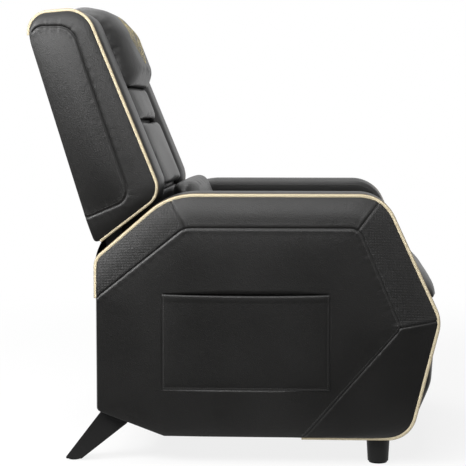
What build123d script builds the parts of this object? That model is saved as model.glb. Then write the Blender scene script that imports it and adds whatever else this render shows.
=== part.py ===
from build123d import *
import math
import os

# Push-back reclining gaming armchair: upholstered arms on legs, a seat with a rolled front,
# a reclining back with headrest and lumbar pillow, and a footrest on a two-stage lazy tong.
# Millimetres. X points forwards, Y to the sitter's left, Z up. The sizes below are taken from a
# datum near the floor; pieces are written in the chair's own frame, whose origin is on the
# floor, under the middle of the chair.

os.makedirs("parts", exist_ok=True)

# Place of the datum in the chair's own frame, and the floor's height from the datum
DATUM = (5.65, 0.0, 10.0)
FLOOR_Z = -DATUM[2]

# Clearance between separate pieces
GAP = 0.3

# Arms: distances from the middle of the chair, and the side outline as (x, z, corner radius),
# counter-clockwise as seen from the sitter's right
ARM_COVER_IN = 268.0
ARM_COVER_OUT = 272.0
INNER_PANEL_OUT = 287.0
OUTER_PANEL_IN = 349.5
OUTER_PANEL_OUT = 364.5
TOP_PAD_OUT = 355.3
SIDE_PAD_OUT = 380.0
PIPING_RADIUS = 4.5
ARM_PIPING_Y = 360.0
ARM_OUTLINE = [
    (-160, 50, 20),
    (381, 50, 60),
    (447, 312, 70),
    (322, 584, 80),
    (-146, 584, 150),
    (-305, 443, 35),
    (-306, 106, 10),
]
ARM_SEAM = [
    (-158, 55, 12),
    (149, 55, 12),
    (362, 297, 14),
    (270, 514, 28),
    (-113, 514, 40),
    (-300, 361, 14),
    (-300, 110, 12),
]
ARM_CROWN = (0, 6, 8, 8, 6, 2, 0)
ARM_PAD_DEPTH = 28.0
ARM_HEM_DEPTH = 8.0
ARM_PIPING_REAR_Z = 358.0
ARM_PIPING_END_X = 147.0
ARM_CROWN_Y = 316.0

# Wood between the panels of each arm as (x limits, z limits): top rail, rear post, front post, floor rail
ARM_RAIL_LIMITS = [
    ((-90, 290), (525, 550)),
    ((-268, -243), (125, 400)),
    ((318, 343), (120, 350)),
    ((-130, 330), (59, 100)),
]

# Side pocket on each arm
POCKET_X = (-157.0, 202.0)
POCKET_Z = (163.0, 367.0)
POCKET_DEPTH = 7.0
POCKET_PANEL = 2.0
POCKET_HEM = 4.0
POCKET_MOUTH = 12.0
POCKET_CORNER_RADIUS = 6.0

# Legs
LEG_Y = 326.0
FRONT_LEG_X = 314.0
LEG_TOP_RADIUS = 26.0
LEG_FOOT_RADIUS = 23.0
LEG_TOP_Z = 49.6
GLIDE_HEIGHT = 4.0
REAR_LEG_OUTLINE = [(-385, -6, 3), (-347, -6, 3), (-241, 78, 3), (-303, 101, 3)]
REAR_LEG_WIDTH = 40.0
LEG_BOLT_RADIUS = 4.0
FRONT_BOLT_Z = (20.0, 85.0)
REAR_BOLT_X = -258.0
REAR_BOLT_Z = (76.0, 160.0)
REAR_GLIDE_RADIUS = 13.0

# Cross rails, rear panel and dust cover of the base
FRONT_RAIL_X = (192.0, 217.0)
FRONT_RAIL_Z = (62.0, 290.0)
REAR_RAIL_X = (-292.0, -267.0)
REAR_RAIL_Z = (120.0, 325.0)
REAR_PANEL_X = (-306.0, -298.0)
REAR_PANEL_Z = (108.0, 370.0)
DUST_COVER_X = (-266.0, 190.0)
DUST_COVER_Z = (59.0, 61.0)

# Loose cloth that closes the rear between the base and the back
GUSSET_OUTLINE = [
    (-304, 371, 1),
    (-300, 371, 1),
    (-314, 425, 20),
    (-316, 462, 1),
    (-320, 462, 1),
    (-318, 425, 20),
]

# Seat
SEAT_HALF_WIDTH = 263.0
SEAT_PROFILE = [
    (-185, 352, 12),
    (392, 352, 15),
    (455, 340, 10),
    (450, 366, 30),
    (362, 457, 60),
    (-185, 440, 30),
]
SEAT_RAIL_Z = (317.0, 343.0)
SEAT_RAIL_X = (-180.0, 375.0)
SEAT_RAIL_WIDTH = 45.0
SEAT_SPRING_Z = 346.0
SEAT_SPRING_COUNT = 5
SEAT_SPRING_PITCH = 90.0
SEAT_SPRING_BENDS = 13
SEAT_SPRING_SWING = 24.0
SPRING_WIRE_RADIUS = 2.0
SPRING_BEND_RADIUS = 9.0

# Backrest: side outline, stitched side panel and recline pivot
BACK_OUTLINE = [
    (-322, 468.5, 10),
    (-172, 583, 46),
    (-341, 997, 60),
    (-481, 984.5, 45),
]
BACK_SEAM = [
    (-340, 529, 8),
    (-238, 572, 35),
    (-368, 958, 45),
    (-472, 957, 30),
]
BACK_CORE_HALF = 293.5
BACK_PIPING_Y = 298.2
BACK_PIPING_END = (-466.0, 935.8)
BACK_SIDE_IN = 302.9
BACK_SIDE_OUT = 312.0
BACK_FRONT_DEPTH = 22.0
BACK_REAR_DEPTH = 12.0
BACK_CORE_WALL = 25.0
BACK_CAVITY_SIDES = [-30, -60, -40, 5]
BACK_PIVOT = (-262.0, 385.0)
BOLSTER_IN = 176.0
BOLSTER_CROWN = 2.0
BOLSTER_CROWN_Y = 236.0
PAD_HALF = 173.0
HEADREST_HALF = 166.0
LOWER_PAD_SPAN = (8.0, 166.0)
UPPER_PAD_SPAN = (184.0, 246.0)
PAD_CROWN = 8.0
PAD_EDGE_RADIUS = 14.0
PAD_SHOULDER_Y = 95.0
HEADREST_PROFILE = [
    (-318, 829, 6),
    (-246, 824, 14),
    (-236, 862, 30),
    (-274, 958, 70),
    (-320, 1007, 60),
    (-398, 1022, 18),
    (-424, 990, 6),
    (-410, 950, 6),
]
SKIRT_PROFILE = [(-285, 435, 12), (-197, 435, 20), (-186, 590, 4), (-300, 500, 4)]
SKIRT_HALF = 250.0
LUMBAR_PROFILE = [(-148, 452, 22), (-98, 454, 24), (-76, 530, 40), (-112, 618, 22), (-164, 604, 16)]
LUMBAR_HALF = 200.0

# Steel frame and hinge of the back
BACK_TUBE_RADIUS = 12.5
BACK_TUBE_HALF = 200.0
BACK_TUBE_DEPTH = 45.0
BACK_TUBE_LOW = 68.0
BACK_TUBE_HIGH = 445.0
BACK_TUBE_BEND = 70.0
BACK_SPRING_COUNT = 4
BACK_SPRING_BENDS = 9
BACK_SPRING_LOW = 150.0
BACK_SPRING_PITCH = 70.0
BACK_SPRING_SWING = 20.0
BRACKET_WIDTH = 42.0
BRACKET_IN = 255.5
BRACKET_OUT = 260.5
HINGE_PLATE_IN = 262.0
HINGE_PLATE_OUT = 268.0
HINGE_PLATE_X = (-292.0, -222.0)
HINGE_PLATE_Z = (335.0, 412.0)
HINGE_PLATE_CORNER = 14.0
HINGE_BOLT_RADIUS = 6.0
HINGE_BOLT_HEAD_RADIUS = 10.0
HINGE_WASHER_RADIUS = 15.0
HINGE_RUNNING = 0.05
BOLT_CLEARANCE = 0.1

# Footrest mechanism: two crossed pairs of equal bars each side
BAR_LENGTH = 200.0
BAR_WIDTH = 22.0
STOWED_ANGLE = 78.0
OPEN_ANGLE = 40.0
TOP_PIVOT = (246.8, 300.0)
PIN_RADIUS = 5.0
PIN_RUNNING = 0.08
PLATE_LAYER = (264.0, 268.0)
A_LAYER = (258.5, 262.5)
B_LAYER = (253.5, 257.5)
C_LAYER = (248.5, 252.5)
BRACKET_LAYER = (243.5, 247.5)
CONTROL_ARM = 45.0
CONTROL_ARM_ANGLE = -85.0
CONTROL_LINK_LENGTH = 148.46
CONTROL_LINK_ANGLE = -93.69
CONTROL_HOLE_RADIUS = 12.0
CONTROL_EYE_WALL = 8.0
MECHANISM_PLATE_X = (217.0, 282.0)
MECHANISM_PLATE_Z = (86.0, 316.0)
MECHANISM_PLATE_CORNER = 10.0
SLOT_END_PLAY = 0.5
TORQUE_TUBE_RADIUS = 12.5
TORQUE_TUBE_WALL = 2.5
SPRING_SLEEVE_WALL = 3.0
SPRING_SLEEVE_Y = (-238.0, -150.0)
SPRING_TAB_Y = (-238.0, -230.0)
SPRING_TAB_DROP = (16.0, 10.0)

# Footrest
FOOTREST_TILT = 4.0
FOOTREST_OFFSET = 53.0
FOOTREST_BOARD_DEPTH = 15.0
FOOTREST_PAD_DEPTH = 53.0
FOOTREST_TOP = 14.0
FOOTREST_LOW = -236.0
FOOTREST_TAPER = 95.0
FOOTREST_TAPER_RADIUS = 80.0
FOOTREST_PAD_HALF = 259.0
FOOTREST_BOARD_HALF = 240.0
FOOTREST_BOARD_INSET = 7.0
BRACKET_HIGH = 5.0
BRACKET_LOW = -95.0
BRACKET_THICKNESS = 4.0
BRACKET_FLANGE = 36.0


def save(node, *shapes):
    """Write every solid of one node to the node's own file."""
    solids = [solid for shape in shapes for solid in shape.solids()]
    whole = solids[0] if len(solids) == 1 else Compound(solids)
    export_step(Pos(*DATUM) * whole, f"parts/{node}.step")


def mirrored(shape):
    """The same piece on the other side of the chair."""
    return mirror(shape, about=Plane.XZ)


def save_pair(node, right):
    """Write a right-hand piece and its left-hand mirror image as two nodes."""
    save(f"{node}_right", right)
    save(f"{node}_left", mirrored(right))


def corner_points(corners, k, y):
    """Start, middle and end of the arc that rounds corner k of an outline in the plane Y = y."""
    x, z, radius = corners[k]
    corner = Vector(x, y, z)
    last = corners[k - 1]
    following = corners[(k + 1) % len(corners)]
    back = (Vector(last[0], y, last[1]) - corner).normalized()
    ahead = (Vector(following[0], y, following[1]) - corner).normalized()
    half_angle = math.acos(back.dot(ahead)) / 2
    reach = radius / math.tan(half_angle)
    inset = radius / math.sin(half_angle) - radius
    middle = corner + (back + ahead).normalized() * inset
    return corner + back * reach, middle, corner + ahead * reach


def outline_face(corners, y):
    """Flat face at Y = y inside an outline with rounded corners."""
    arcs = [corner_points(corners, k, y) for k in range(len(corners))]
    edges = []
    for k, (start, middle, end) in enumerate(arcs):
        edges.append(ThreePointArc(start, middle, end))
        edges.append(Line(end, arcs[(k + 1) % len(arcs)][0]))
    return Face(Wire(edges))


def moved_sides(corners, shifts):
    """Outline whose side k, from corner k to corner k + 1, moves outwards by shifts[k]."""
    count = len(corners)
    if not isinstance(shifts, (list, tuple)):
        shifts = [shifts] * count
    lines = []
    for k in range(count):
        x0, z0, _ = corners[k]
        x1, z1, _ = corners[(k + 1) % count]
        length = math.hypot(x1 - x0, z1 - z0)
        out_x = (z1 - z0) / length
        out_z = -(x1 - x0) / length
        lines.append((out_x, out_z, out_x * x0 + out_z * z0 + shifts[k]))
    moved = []
    for k in range(count):
        ax, az, ad = lines[k - 1]
        bx, bz, bd = lines[k]
        det = ax * bz - az * bx
        radius = max(corners[k][2] + (shifts[k - 1] + shifts[k]) / 2, 3)
        moved.append(((ad * bz - az * bd) / det, (ax * bd - ad * bx) / det, radius))
    return moved


def prism(corners, y0, y1):
    """Outline carried straight from Y = y0 to Y = y1."""
    return extrude(outline_face(corners, y0), amount=y1 - y0, dir=(0, 1, 0))


def side_loft(stations):
    """Solid through outlines at several Y positions; stations are (y, corners)."""
    return loft([outline_face(corners, y) for y, corners in stations], ruled=True)


def cross_loft(half_stations):
    """Solid that is alike on both sides of the chair; half_stations run from the edge to Y = 0."""
    left = [(-y, corners) for y, corners in reversed(half_stations) if y != 0]
    return side_loft(list(half_stations) + left)


def span(x, y, z):
    """Block between the given X, Y and Z limits."""
    size = [limits[1] - limits[0] for limits in (x, y, z)]
    middle = [(limits[1] + limits[0]) / 2 for limits in (x, y, z)]
    return Pos(*middle) * Box(*size)


def rod(x, z, radius, y0, y1):
    """Round bar across the chair at (x, z)."""
    return extrude(Plane((x, y0, z), z_dir=(0, 1, 0)) * Circle(radius), amount=y1 - y0)


def upright(x, y, radius, z0, z1):
    """Round bar standing up at (x, y)."""
    return Pos(x, y, (z0 + z1) / 2) * Cylinder(radius, z1 - z0)


def tube_along(path, radius):
    """Round cord or wire along a path of lines and tangent arcs."""
    return sweep(Plane(path @ 0, z_dir=path % 0) * Circle(radius), path=path)


def piping_run(start, corners, kept, end, y):
    """Path along part of an outline: start, the rounded corners listed in kept, then end."""
    edges = []
    here = Vector(start[0], y, start[1])
    for k in kept:
        first, middle, last = corner_points(corners, k, y)
        edges.append(Line(here, first))
        edges.append(ThreePointArc(first, middle, last))
        here = last
    edges.append(Line(here, Vector(end[0], y, end[1])))
    return Wire(edges)


def flat_bar(ends, layer, width, holes=()):
    """Flat steel bar with round ends between two points, in one layer on the right-hand side."""
    (x0, z0), (x1, z1) = ends
    middle = ((x0 + x1) / 2, -layer[1], (z0 + z1) / 2)
    along = (x1 - x0, 0, z1 - z0)
    plane = Plane(middle, x_dir=along, z_dir=(0, 1, 0))
    length = math.hypot(x1 - x0, z1 - z0)
    bar = extrude(plane * SlotCenterToCenter(length, width), amount=layer[1] - layer[0])
    for (x, z), radius in holes:
        bar -= rod(x, z, radius, -layer[1] - 1, -layer[0] + 1)
    return bar


# Arms, built on the sitter's right and mirrored to the left
panel_sides = [-ARM_HEM_DEPTH] + [-ARM_PAD_DEPTH] * 5 + [-ARM_HEM_DEPTH]
panel_outline = moved_sides(ARM_OUTLINE, panel_sides)
pad_hole = moved_sides(ARM_OUTLINE, [side + GAP for side in panel_sides])


def arm_band_outline(swell, draw_in):
    """Arm outline swollen by a share of the crown and drawn in at the edges."""
    return moved_sides(ARM_OUTLINE, [swell * crown - draw_in for crown in ARM_CROWN])


arm_top_pad = side_loft([
    (-TOP_PAD_OUT, arm_band_outline(0, 1)),
    (-TOP_PAD_OUT + 14, arm_band_outline(0.75, 0)),
    (-ARM_CROWN_Y, arm_band_outline(1, 0)),
    (-ARM_COVER_OUT - 16, arm_band_outline(0.6, 0)),
    (-ARM_COVER_OUT, arm_band_outline(0, 9)),
])
arm_top_pad -= prism(pad_hole, -TOP_PAD_OUT - 1, -ARM_COVER_OUT + 1)
arm_inner_panel = prism(panel_outline, -INNER_PANEL_OUT, -ARM_COVER_OUT)
arm_outer_panel = prism(panel_outline, -OUTER_PANEL_OUT, -OUTER_PANEL_IN)
arm_inner_cover = prism(moved_sides(ARM_OUTLINE, -12), -ARM_COVER_OUT, -ARM_COVER_IN)

arm_side_pad = side_loft([
    (-SIDE_PAD_OUT + 0.2, moved_sides(ARM_SEAM, -30)),
    (-SIDE_PAD_OUT + 4, ARM_SEAM),
    (-OUTER_PANEL_OUT - 3, moved_sides(ARM_OUTLINE, -4)),
    (-OUTER_PANEL_OUT - 0.2, moved_sides(ARM_OUTLINE, -1)),
])
arm_side_pad -= span(
    POCKET_X,
    (-SIDE_PAD_OUT - 1, -SIDE_PAD_OUT + POCKET_DEPTH),
    (POCKET_Z[0], POCKET_Z[1] + POCKET_MOUTH),
)
side_pocket = span(
    (POCKET_X[0] - POCKET_HEM, POCKET_X[1] + POCKET_HEM),
    (-SIDE_PAD_OUT - POCKET_PANEL, -SIDE_PAD_OUT),
    (POCKET_Z[0] - POCKET_HEM, POCKET_Z[1]),
)
side_pocket = fillet(side_pocket.edges().filter_by(Axis.Y), POCKET_CORNER_RADIUS)

arm_piping_path = piping_run(
    (ARM_OUTLINE[5][0], ARM_PIPING_REAR_Z),
    ARM_OUTLINE[::-1],
    (1, 2, 3, 4, 5),
    (ARM_PIPING_END_X, ARM_OUTLINE[0][1]),
    -ARM_PIPING_Y,
)
arm_piping = tube_along(arm_piping_path, PIPING_RADIUS)

rail_y = (-OUTER_PANEL_IN, -INNER_PANEL_OUT)
arm_rails = [span(x, rail_y, z) for x, z in ARM_RAIL_LIMITS]

# Legs, glides and leg bolts
leg_top = Plane((FRONT_LEG_X, -LEG_Y, LEG_TOP_Z)) * Circle(LEG_TOP_RADIUS)
leg_foot = Plane((FRONT_LEG_X, -LEG_Y, FLOOR_Z + GLIDE_HEIGHT)) * Circle(LEG_FOOT_RADIUS)
front_leg = loft([leg_foot, leg_top])
rear_leg = prism(REAR_LEG_OUTLINE, -LEG_Y - REAR_LEG_WIDTH / 2, -LEG_Y + REAR_LEG_WIDTH / 2)
front_bolt = upright(FRONT_LEG_X, -LEG_Y, LEG_BOLT_RADIUS, *FRONT_BOLT_Z)
rear_bolt = upright(REAR_BOLT_X, -LEG_Y, LEG_BOLT_RADIUS, *REAR_BOLT_Z)
for bolt_x, (low, high) in ((FRONT_LEG_X, FRONT_BOLT_Z), (REAR_BOLT_X, REAR_BOLT_Z)):
    hole_radius = LEG_BOLT_RADIUS + BOLT_CLEARANCE
    bolt_hole = upright(bolt_x, -LEG_Y, hole_radius, low, high + BOLT_CLEARANCE)
    front_leg -= bolt_hole
    rear_leg -= bolt_hole
    arm_top_pad -= bolt_hole
    arm_rails = [rail - bolt_hole for rail in arm_rails]
glide_z = (FLOOR_Z, FLOOR_Z + GLIDE_HEIGHT)
front_glide = upright(FRONT_LEG_X, -LEG_Y, LEG_FOOT_RADIUS - 3, *glide_z)
rear_foot_x = (REAR_LEG_OUTLINE[0][0] + REAR_LEG_OUTLINE[1][0]) / 2
rear_glide = upright(rear_foot_x, -LEG_Y, REAR_GLIDE_RADIUS, *glide_z)

# Seat: rails, zigzag springs and the cushion with its rolled front
seat_edge_y = SEAT_HALF_WIDTH - 2
rail_inner_y = seat_edge_y - SEAT_RAIL_WIDTH
front_rail_x = (SEAT_RAIL_X[1] - SEAT_RAIL_WIDTH, SEAT_RAIL_X[1])
rear_rail_x = (SEAT_RAIL_X[0], SEAT_RAIL_X[0] + SEAT_RAIL_WIDTH)
side_rail = span(SEAT_RAIL_X, (-ARM_COVER_IN, -rail_inner_y), SEAT_RAIL_Z)
seat_rails = [
    side_rail,
    mirrored(side_rail),
    span(front_rail_x, (-rail_inner_y, rail_inner_y), SEAT_RAIL_Z),
    span(rear_rail_x, (-rail_inner_y, rail_inner_y), SEAT_RAIL_Z),
]


def zigzag_spring(start, step, side, count):
    """Zigzag wire: count bends from start, each a step on, swinging side to side."""
    points = [start]
    for k in range(count):
        swing = side if k % 2 == 0 else side * -1
        points.append(start + step * (k + 0.5) + swing)
    points.append(start + step * count)
    return tube_along(FilletPolyline(*points, radius=SPRING_BEND_RADIUS), SPRING_WIRE_RADIUS)


spring_run = (SEAT_RAIL_X[1] - SEAT_RAIL_X[0] - SEAT_RAIL_WIDTH) / SEAT_SPRING_BENDS
seat_springs = [
    zigzag_spring(
        Vector(SEAT_RAIL_X[0] + SEAT_RAIL_WIDTH / 2, (k - 2) * SEAT_SPRING_PITCH, SEAT_SPRING_Z),
        Vector(spring_run, 0, 0),
        Vector(0, SEAT_SPRING_SWING, 0),
        SEAT_SPRING_BENDS,
    )
    for k in range(SEAT_SPRING_COUNT)
]


def seat_section(draw_in, crown):
    """Seat side profile, drawn in all round and swollen along its front and top."""
    swollen = crown - draw_in
    return moved_sides(SEAT_PROFILE, [-draw_in, -draw_in, swollen, swollen, swollen, 0])


seat_cushion = cross_loft([
    (-SEAT_HALF_WIDTH, seat_section(20, 0)),
    (-SEAT_HALF_WIDTH + 8, seat_section(9, 2)),
    (-SEAT_HALF_WIDTH + 28, seat_section(4, 3)),
    (-120, seat_section(1, 6)),
    (0, seat_section(0, 8)),
])

# Cross rails, rear panel, rear gusset and dust cover of the base
cross_y = (-ARM_COVER_IN, ARM_COVER_IN)
front_rail = span(FRONT_RAIL_X, cross_y, FRONT_RAIL_Z)
rear_rail = span(REAR_RAIL_X, cross_y, REAR_RAIL_Z)
rear_panel = span(REAR_PANEL_X, cross_y, REAR_PANEL_Z)
rear_gusset = prism(GUSSET_OUTLINE, -ARM_COVER_IN + 2, ARM_COVER_IN - 2)
dust_cover = span(DUST_COVER_X, cross_y, DUST_COVER_Z)

# Backrest core, its cover plate and the stitched side panels
core_outline = moved_sides(BACK_OUTLINE, [0, -BACK_FRONT_DEPTH, 0, -BACK_REAR_DEPTH])
core_cavity = moved_sides(BACK_OUTLINE, BACK_CAVITY_SIDES)
cavity_half = BACK_CORE_HALF - BACK_CORE_WALL
back_core = prism(core_outline, -BACK_CORE_HALF, BACK_CORE_HALF)
back_core -= prism(core_cavity, -cavity_half, cavity_half)
cover_cut = moved_sides(BACK_OUTLINE, [60, 60, 60, -BACK_REAR_DEPTH + GAP])
back_rear_cover = prism(BACK_OUTLINE, -BACK_CORE_HALF, BACK_CORE_HALF)
back_rear_cover -= prism(cover_cut, -BACK_CORE_HALF - 1, BACK_CORE_HALF + 1)
back_side_pad = side_loft([
    (-BACK_SIDE_OUT, moved_sides(BACK_SEAM, -26)),
    (-BACK_SIDE_OUT + 1.5, BACK_SEAM),
    (-BACK_SIDE_IN - 2, moved_sides(BACK_OUTLINE, [-4, -4, -4, -2])),
    (-BACK_SIDE_IN, moved_sides(BACK_OUTLINE, -1)),
])
back_piping_path = piping_run(
    (BACK_OUTLINE[0][0] + 12, BACK_OUTLINE[0][1] + 9.4),
    BACK_OUTLINE,
    (1, 2, 3),
    BACK_PIPING_END,
    -BACK_PIPING_Y,
)
back_piping = tube_along(back_piping_path, PIPING_RADIUS)

# Front of the back: side bolsters, two channel pads, headrest
front_run = Vector(BACK_OUTLINE[2][0] - BACK_OUTLINE[1][0], 0, BACK_OUTLINE[2][1] - BACK_OUTLINE[1][1])
front_up = front_run.normalized()
front_out = Vector(front_up.Z, 0, -front_up.X)


def on_front(along, forward):
    """Point in the side view: a distance up the front edge of the back, and out from it."""
    point = Vector(BACK_OUTLINE[1][0], 0, BACK_OUTLINE[1][1]) + front_up * along + front_out * forward
    return point.X, point.Z


def bolster_section(swell):
    """Back outline a little inside its edges, with its front moved by swell."""
    return moved_sides(BACK_OUTLINE, [-1, swell, -1, 0])


pad_seat = -BACK_FRONT_DEPTH + GAP
behind_pads = moved_sides(BACK_OUTLINE, [60, pad_seat, 60, 60])
bolster = side_loft([
    (-BACK_CORE_HALF, bolster_section(-2)),
    (-BACK_CORE_HALF + 14, bolster_section(1)),
    (-BOLSTER_CROWN_Y, bolster_section(BOLSTER_CROWN)),
    (-BOLSTER_IN - 12, bolster_section(1)),
    (-BOLSTER_IN, bolster_section(-8)),
])
bolster -= prism(behind_pads, -BACK_CORE_HALF - 1, -BOLSTER_IN + 1)


def pad_section(limits, draw_in, forward):
    """Side profile of one channel pad between two heights up the front edge; its top is level."""
    low, high = limits
    level = (forward - pad_seat) * front_out.Z / front_up.Z
    back_points = (on_front(high - draw_in + level, pad_seat), on_front(low + draw_in, pad_seat))
    front_points = (on_front(low + draw_in, forward), on_front(high - draw_in, forward))
    edge = min(0.6 * (forward - pad_seat), PAD_EDGE_RADIUS)
    return [(*back_points[1], 3), (*front_points[0], edge), (*front_points[1], edge), (*back_points[0], 3)]


def channel_pad(limits):
    """Crowned pad across the middle of the back."""
    return cross_loft([
        (-PAD_HALF, pad_section(limits, 5, -6)),
        (-PAD_HALF + 10, pad_section(limits, 1, 1)),
        (-PAD_SHOULDER_Y, pad_section(limits, 0, 0.85 * PAD_CROWN)),
        (0, pad_section(limits, 0, PAD_CROWN)),
    ])


back_pad_lower = channel_pad(LOWER_PAD_SPAN)
back_pad_upper = channel_pad(UPPER_PAD_SPAN)
behind_headrest = moved_sides(core_outline, GAP)
headrest = cross_loft([
    (-HEADREST_HALF, moved_sides(HEADREST_PROFILE, -15)),
    (-HEADREST_HALF + 9, moved_sides(HEADREST_PROFILE, -6)),
    (-HEADREST_HALF + 40, moved_sides(HEADREST_PROFILE, -2)),
    (0, HEADREST_PROFILE),
])
headrest -= prism(behind_headrest, -HEADREST_HALF - 1, HEADREST_HALF + 1)
back_skirt = cross_loft([
    (-SKIRT_HALF, moved_sides(SKIRT_PROFILE, [-6, -6, 0, -4])),
    (-SKIRT_HALF + 14, SKIRT_PROFILE),
    (0, SKIRT_PROFILE),
])
back_skirt -= prism(moved_sides(BACK_OUTLINE, [GAP, 80, 0, 0]), -SKIRT_HALF - 1, SKIRT_HALF + 1)
lumbar_pillow = cross_loft([
    (-LUMBAR_HALF, moved_sides(LUMBAR_PROFILE, -24)),
    (-LUMBAR_HALF + 14, moved_sides(LUMBAR_PROFILE, -13)),
    (-LUMBAR_HALF + 60, moved_sides(LUMBAR_PROFILE, -4)),
    (0, LUMBAR_PROFILE),
])

# Steel frame in the back: a bent tube, a cross tube, zigzag springs and two hinge brackets
rear_run = Vector(BACK_OUTLINE[3][0] - BACK_OUTLINE[0][0], 0, BACK_OUTLINE[3][1] - BACK_OUTLINE[0][1])
rear_up = rear_run.normalized()
rear_in = Vector(rear_up.Z, 0, -rear_up.X)


def in_back(along, depth, y):
    """Point in the back: a distance up the rear face, a depth in from it, and a place across."""
    corner = Vector(BACK_OUTLINE[0][0], y, BACK_OUTLINE[0][1])
    return corner + rear_up * along + rear_in * depth


frame_path = FilletPolyline(
    in_back(BACK_TUBE_LOW, BACK_TUBE_DEPTH, -BACK_TUBE_HALF),
    in_back(BACK_TUBE_HIGH, BACK_TUBE_DEPTH, -BACK_TUBE_HALF),
    in_back(BACK_TUBE_HIGH, BACK_TUBE_DEPTH, BACK_TUBE_HALF),
    in_back(BACK_TUBE_LOW, BACK_TUBE_DEPTH, BACK_TUBE_HALF),
    radius=BACK_TUBE_BEND,
)
cross_tube = in_back(BACK_TUBE_LOW, BACK_TUBE_DEPTH, 0)
back_frame = tube_along(frame_path, BACK_TUBE_RADIUS)
back_frame += rod(cross_tube.X, cross_tube.Z, BACK_TUBE_RADIUS, -BRACKET_IN, BRACKET_IN)
back_spring_half = BACK_TUBE_HALF - BACK_TUBE_RADIUS - 2
back_springs = [
    zigzag_spring(
        in_back(BACK_SPRING_LOW + BACK_SPRING_PITCH * k, BACK_TUBE_DEPTH, -back_spring_half),
        Vector(0, 2 * back_spring_half / BACK_SPRING_BENDS, 0),
        rear_up * BACK_SPRING_SWING,
        BACK_SPRING_BENDS,
    )
    for k in range(BACK_SPRING_COUNT)
]
bracket_ends = (BACK_PIVOT, (cross_tube.X, cross_tube.Z))
bracket_hole = ((BACK_PIVOT, HINGE_BOLT_RADIUS + HINGE_RUNNING),)
back_bracket = flat_bar(bracket_ends, (BRACKET_IN, BRACKET_OUT), BRACKET_WIDTH, bracket_hole)
bracket_slot = flat_bar(bracket_ends, (BRACKET_IN - 1, BRACKET_OUT + 1), BRACKET_WIDTH + 2)
back_core -= bracket_slot
back_core -= mirrored(bracket_slot)

# Hinge plates, washers and bolts that carry the back on the arms
hinge_plate = span(HINGE_PLATE_X, (-HINGE_PLATE_OUT, -HINGE_PLATE_IN), HINGE_PLATE_Z)
hinge_plate = fillet(hinge_plate.edges().filter_by(Axis.Y), HINGE_PLATE_CORNER)
hinge_bolt = rod(*BACK_PIVOT, HINGE_BOLT_RADIUS, -INNER_PANEL_OUT, -BRACKET_IN + 1)
hinge_bolt += rod(*BACK_PIVOT, HINGE_BOLT_HEAD_RADIUS, -BRACKET_IN + 1, -BRACKET_IN + 5)
bolt_way_radius = HINGE_BOLT_RADIUS + BOLT_CLEARANCE
bolt_way = rod(*BACK_PIVOT, bolt_way_radius, -INNER_PANEL_OUT - 1, -HINGE_PLATE_IN + 1)
hinge_plate -= bolt_way
arm_inner_cover -= bolt_way
arm_inner_panel -= bolt_way
hinge_washer = rod(*BACK_PIVOT, HINGE_WASHER_RADIUS, -HINGE_PLATE_IN, -BRACKET_OUT - 0.2)
hinge_washer -= rod(*BACK_PIVOT, bolt_way_radius, -HINGE_PLATE_IN - 1, -BRACKET_OUT + 1)

# Footrest lazy tong, stowed: bars A slope down forwards, bars B slope up forwards
stowed = math.radians(STOWED_ANGLE)
reach = BAR_LENGTH * math.cos(stowed)
rise = BAR_LENGTH * math.sin(stowed)
pivot_x, pivot_z = TOP_PIVOT
slide_pin = (pivot_x, pivot_z - rise)
first_low = (pivot_x + reach, pivot_z - rise)
first_high = (pivot_x + reach, pivot_z)
footrest_hinge = (pivot_x + 2 * reach, pivot_z)
control_pin = (pivot_x + 2 * reach, pivot_z - rise)
first_cross = (pivot_x + reach / 2, pivot_z - rise / 2)
second_cross = (pivot_x + 1.5 * reach, pivot_z - rise / 2)
arm_angle = math.radians(CONTROL_ARM_ANGLE)
control_top = (
    footrest_hinge[0] + CONTROL_ARM * math.cos(arm_angle),
    footrest_hinge[1] + CONTROL_ARM * math.sin(arm_angle),
)
link_angle = math.radians(CONTROL_LINK_ANGLE)
control_low = (
    control_top[0] + CONTROL_LINK_LENGTH * math.cos(link_angle),
    control_top[1] + CONTROL_LINK_LENGTH * math.sin(link_angle),
)
running = PIN_RADIUS + PIN_RUNNING


def pin(place, first_layer, last_layer):
    """Rivet from the outer face of one layer to the inner face of another."""
    return rod(*place, PIN_RADIUS, -first_layer[1], -last_layer[0])


# First bar A turns on the base at its top; its rivets carry the other first bar and second bar B
link_a1 = flat_bar((TOP_PIVOT, first_low), A_LAYER, BAR_WIDTH)
link_a1 += pin(TOP_PIVOT, PLATE_LAYER, A_LAYER)
link_a1 += pin(first_cross, A_LAYER, B_LAYER)
link_a1 += pin(first_low, A_LAYER, B_LAYER)
link_b1 = flat_bar((slide_pin, first_high), B_LAYER, BAR_WIDTH, ((first_cross, running),))
link_b1 += pin(slide_pin, PLATE_LAYER, B_LAYER)
link_b1 += pin(first_high, A_LAYER, B_LAYER)
link_a2 = flat_bar((first_high, control_pin), A_LAYER, BAR_WIDTH, ((first_high, running),))
link_a2 += pin(second_cross, A_LAYER, B_LAYER)
link_a2 += pin(control_pin, A_LAYER, C_LAYER)
b2_holes = ((first_low, running), (second_cross, running))
link_b2 = flat_bar((first_low, footrest_hinge), B_LAYER, BAR_WIDTH, b2_holes)
link_b2 += pin(footrest_hinge, B_LAYER, BRACKET_LAYER)
# The control link's lower eye is wide round its pin
link_c = flat_bar((control_top, control_low), C_LAYER, BAR_WIDTH)
link_c += rod(*control_low, CONTROL_HOLE_RADIUS + CONTROL_EYE_WALL, -C_LAYER[1], -C_LAYER[0])
link_c -= rod(*control_low, CONTROL_HOLE_RADIUS, -C_LAYER[1] - 1, -C_LAYER[0] + 1)
link_c -= rod(*control_top, running, -C_LAYER[1] - 1, -C_LAYER[0] + 1)

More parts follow.
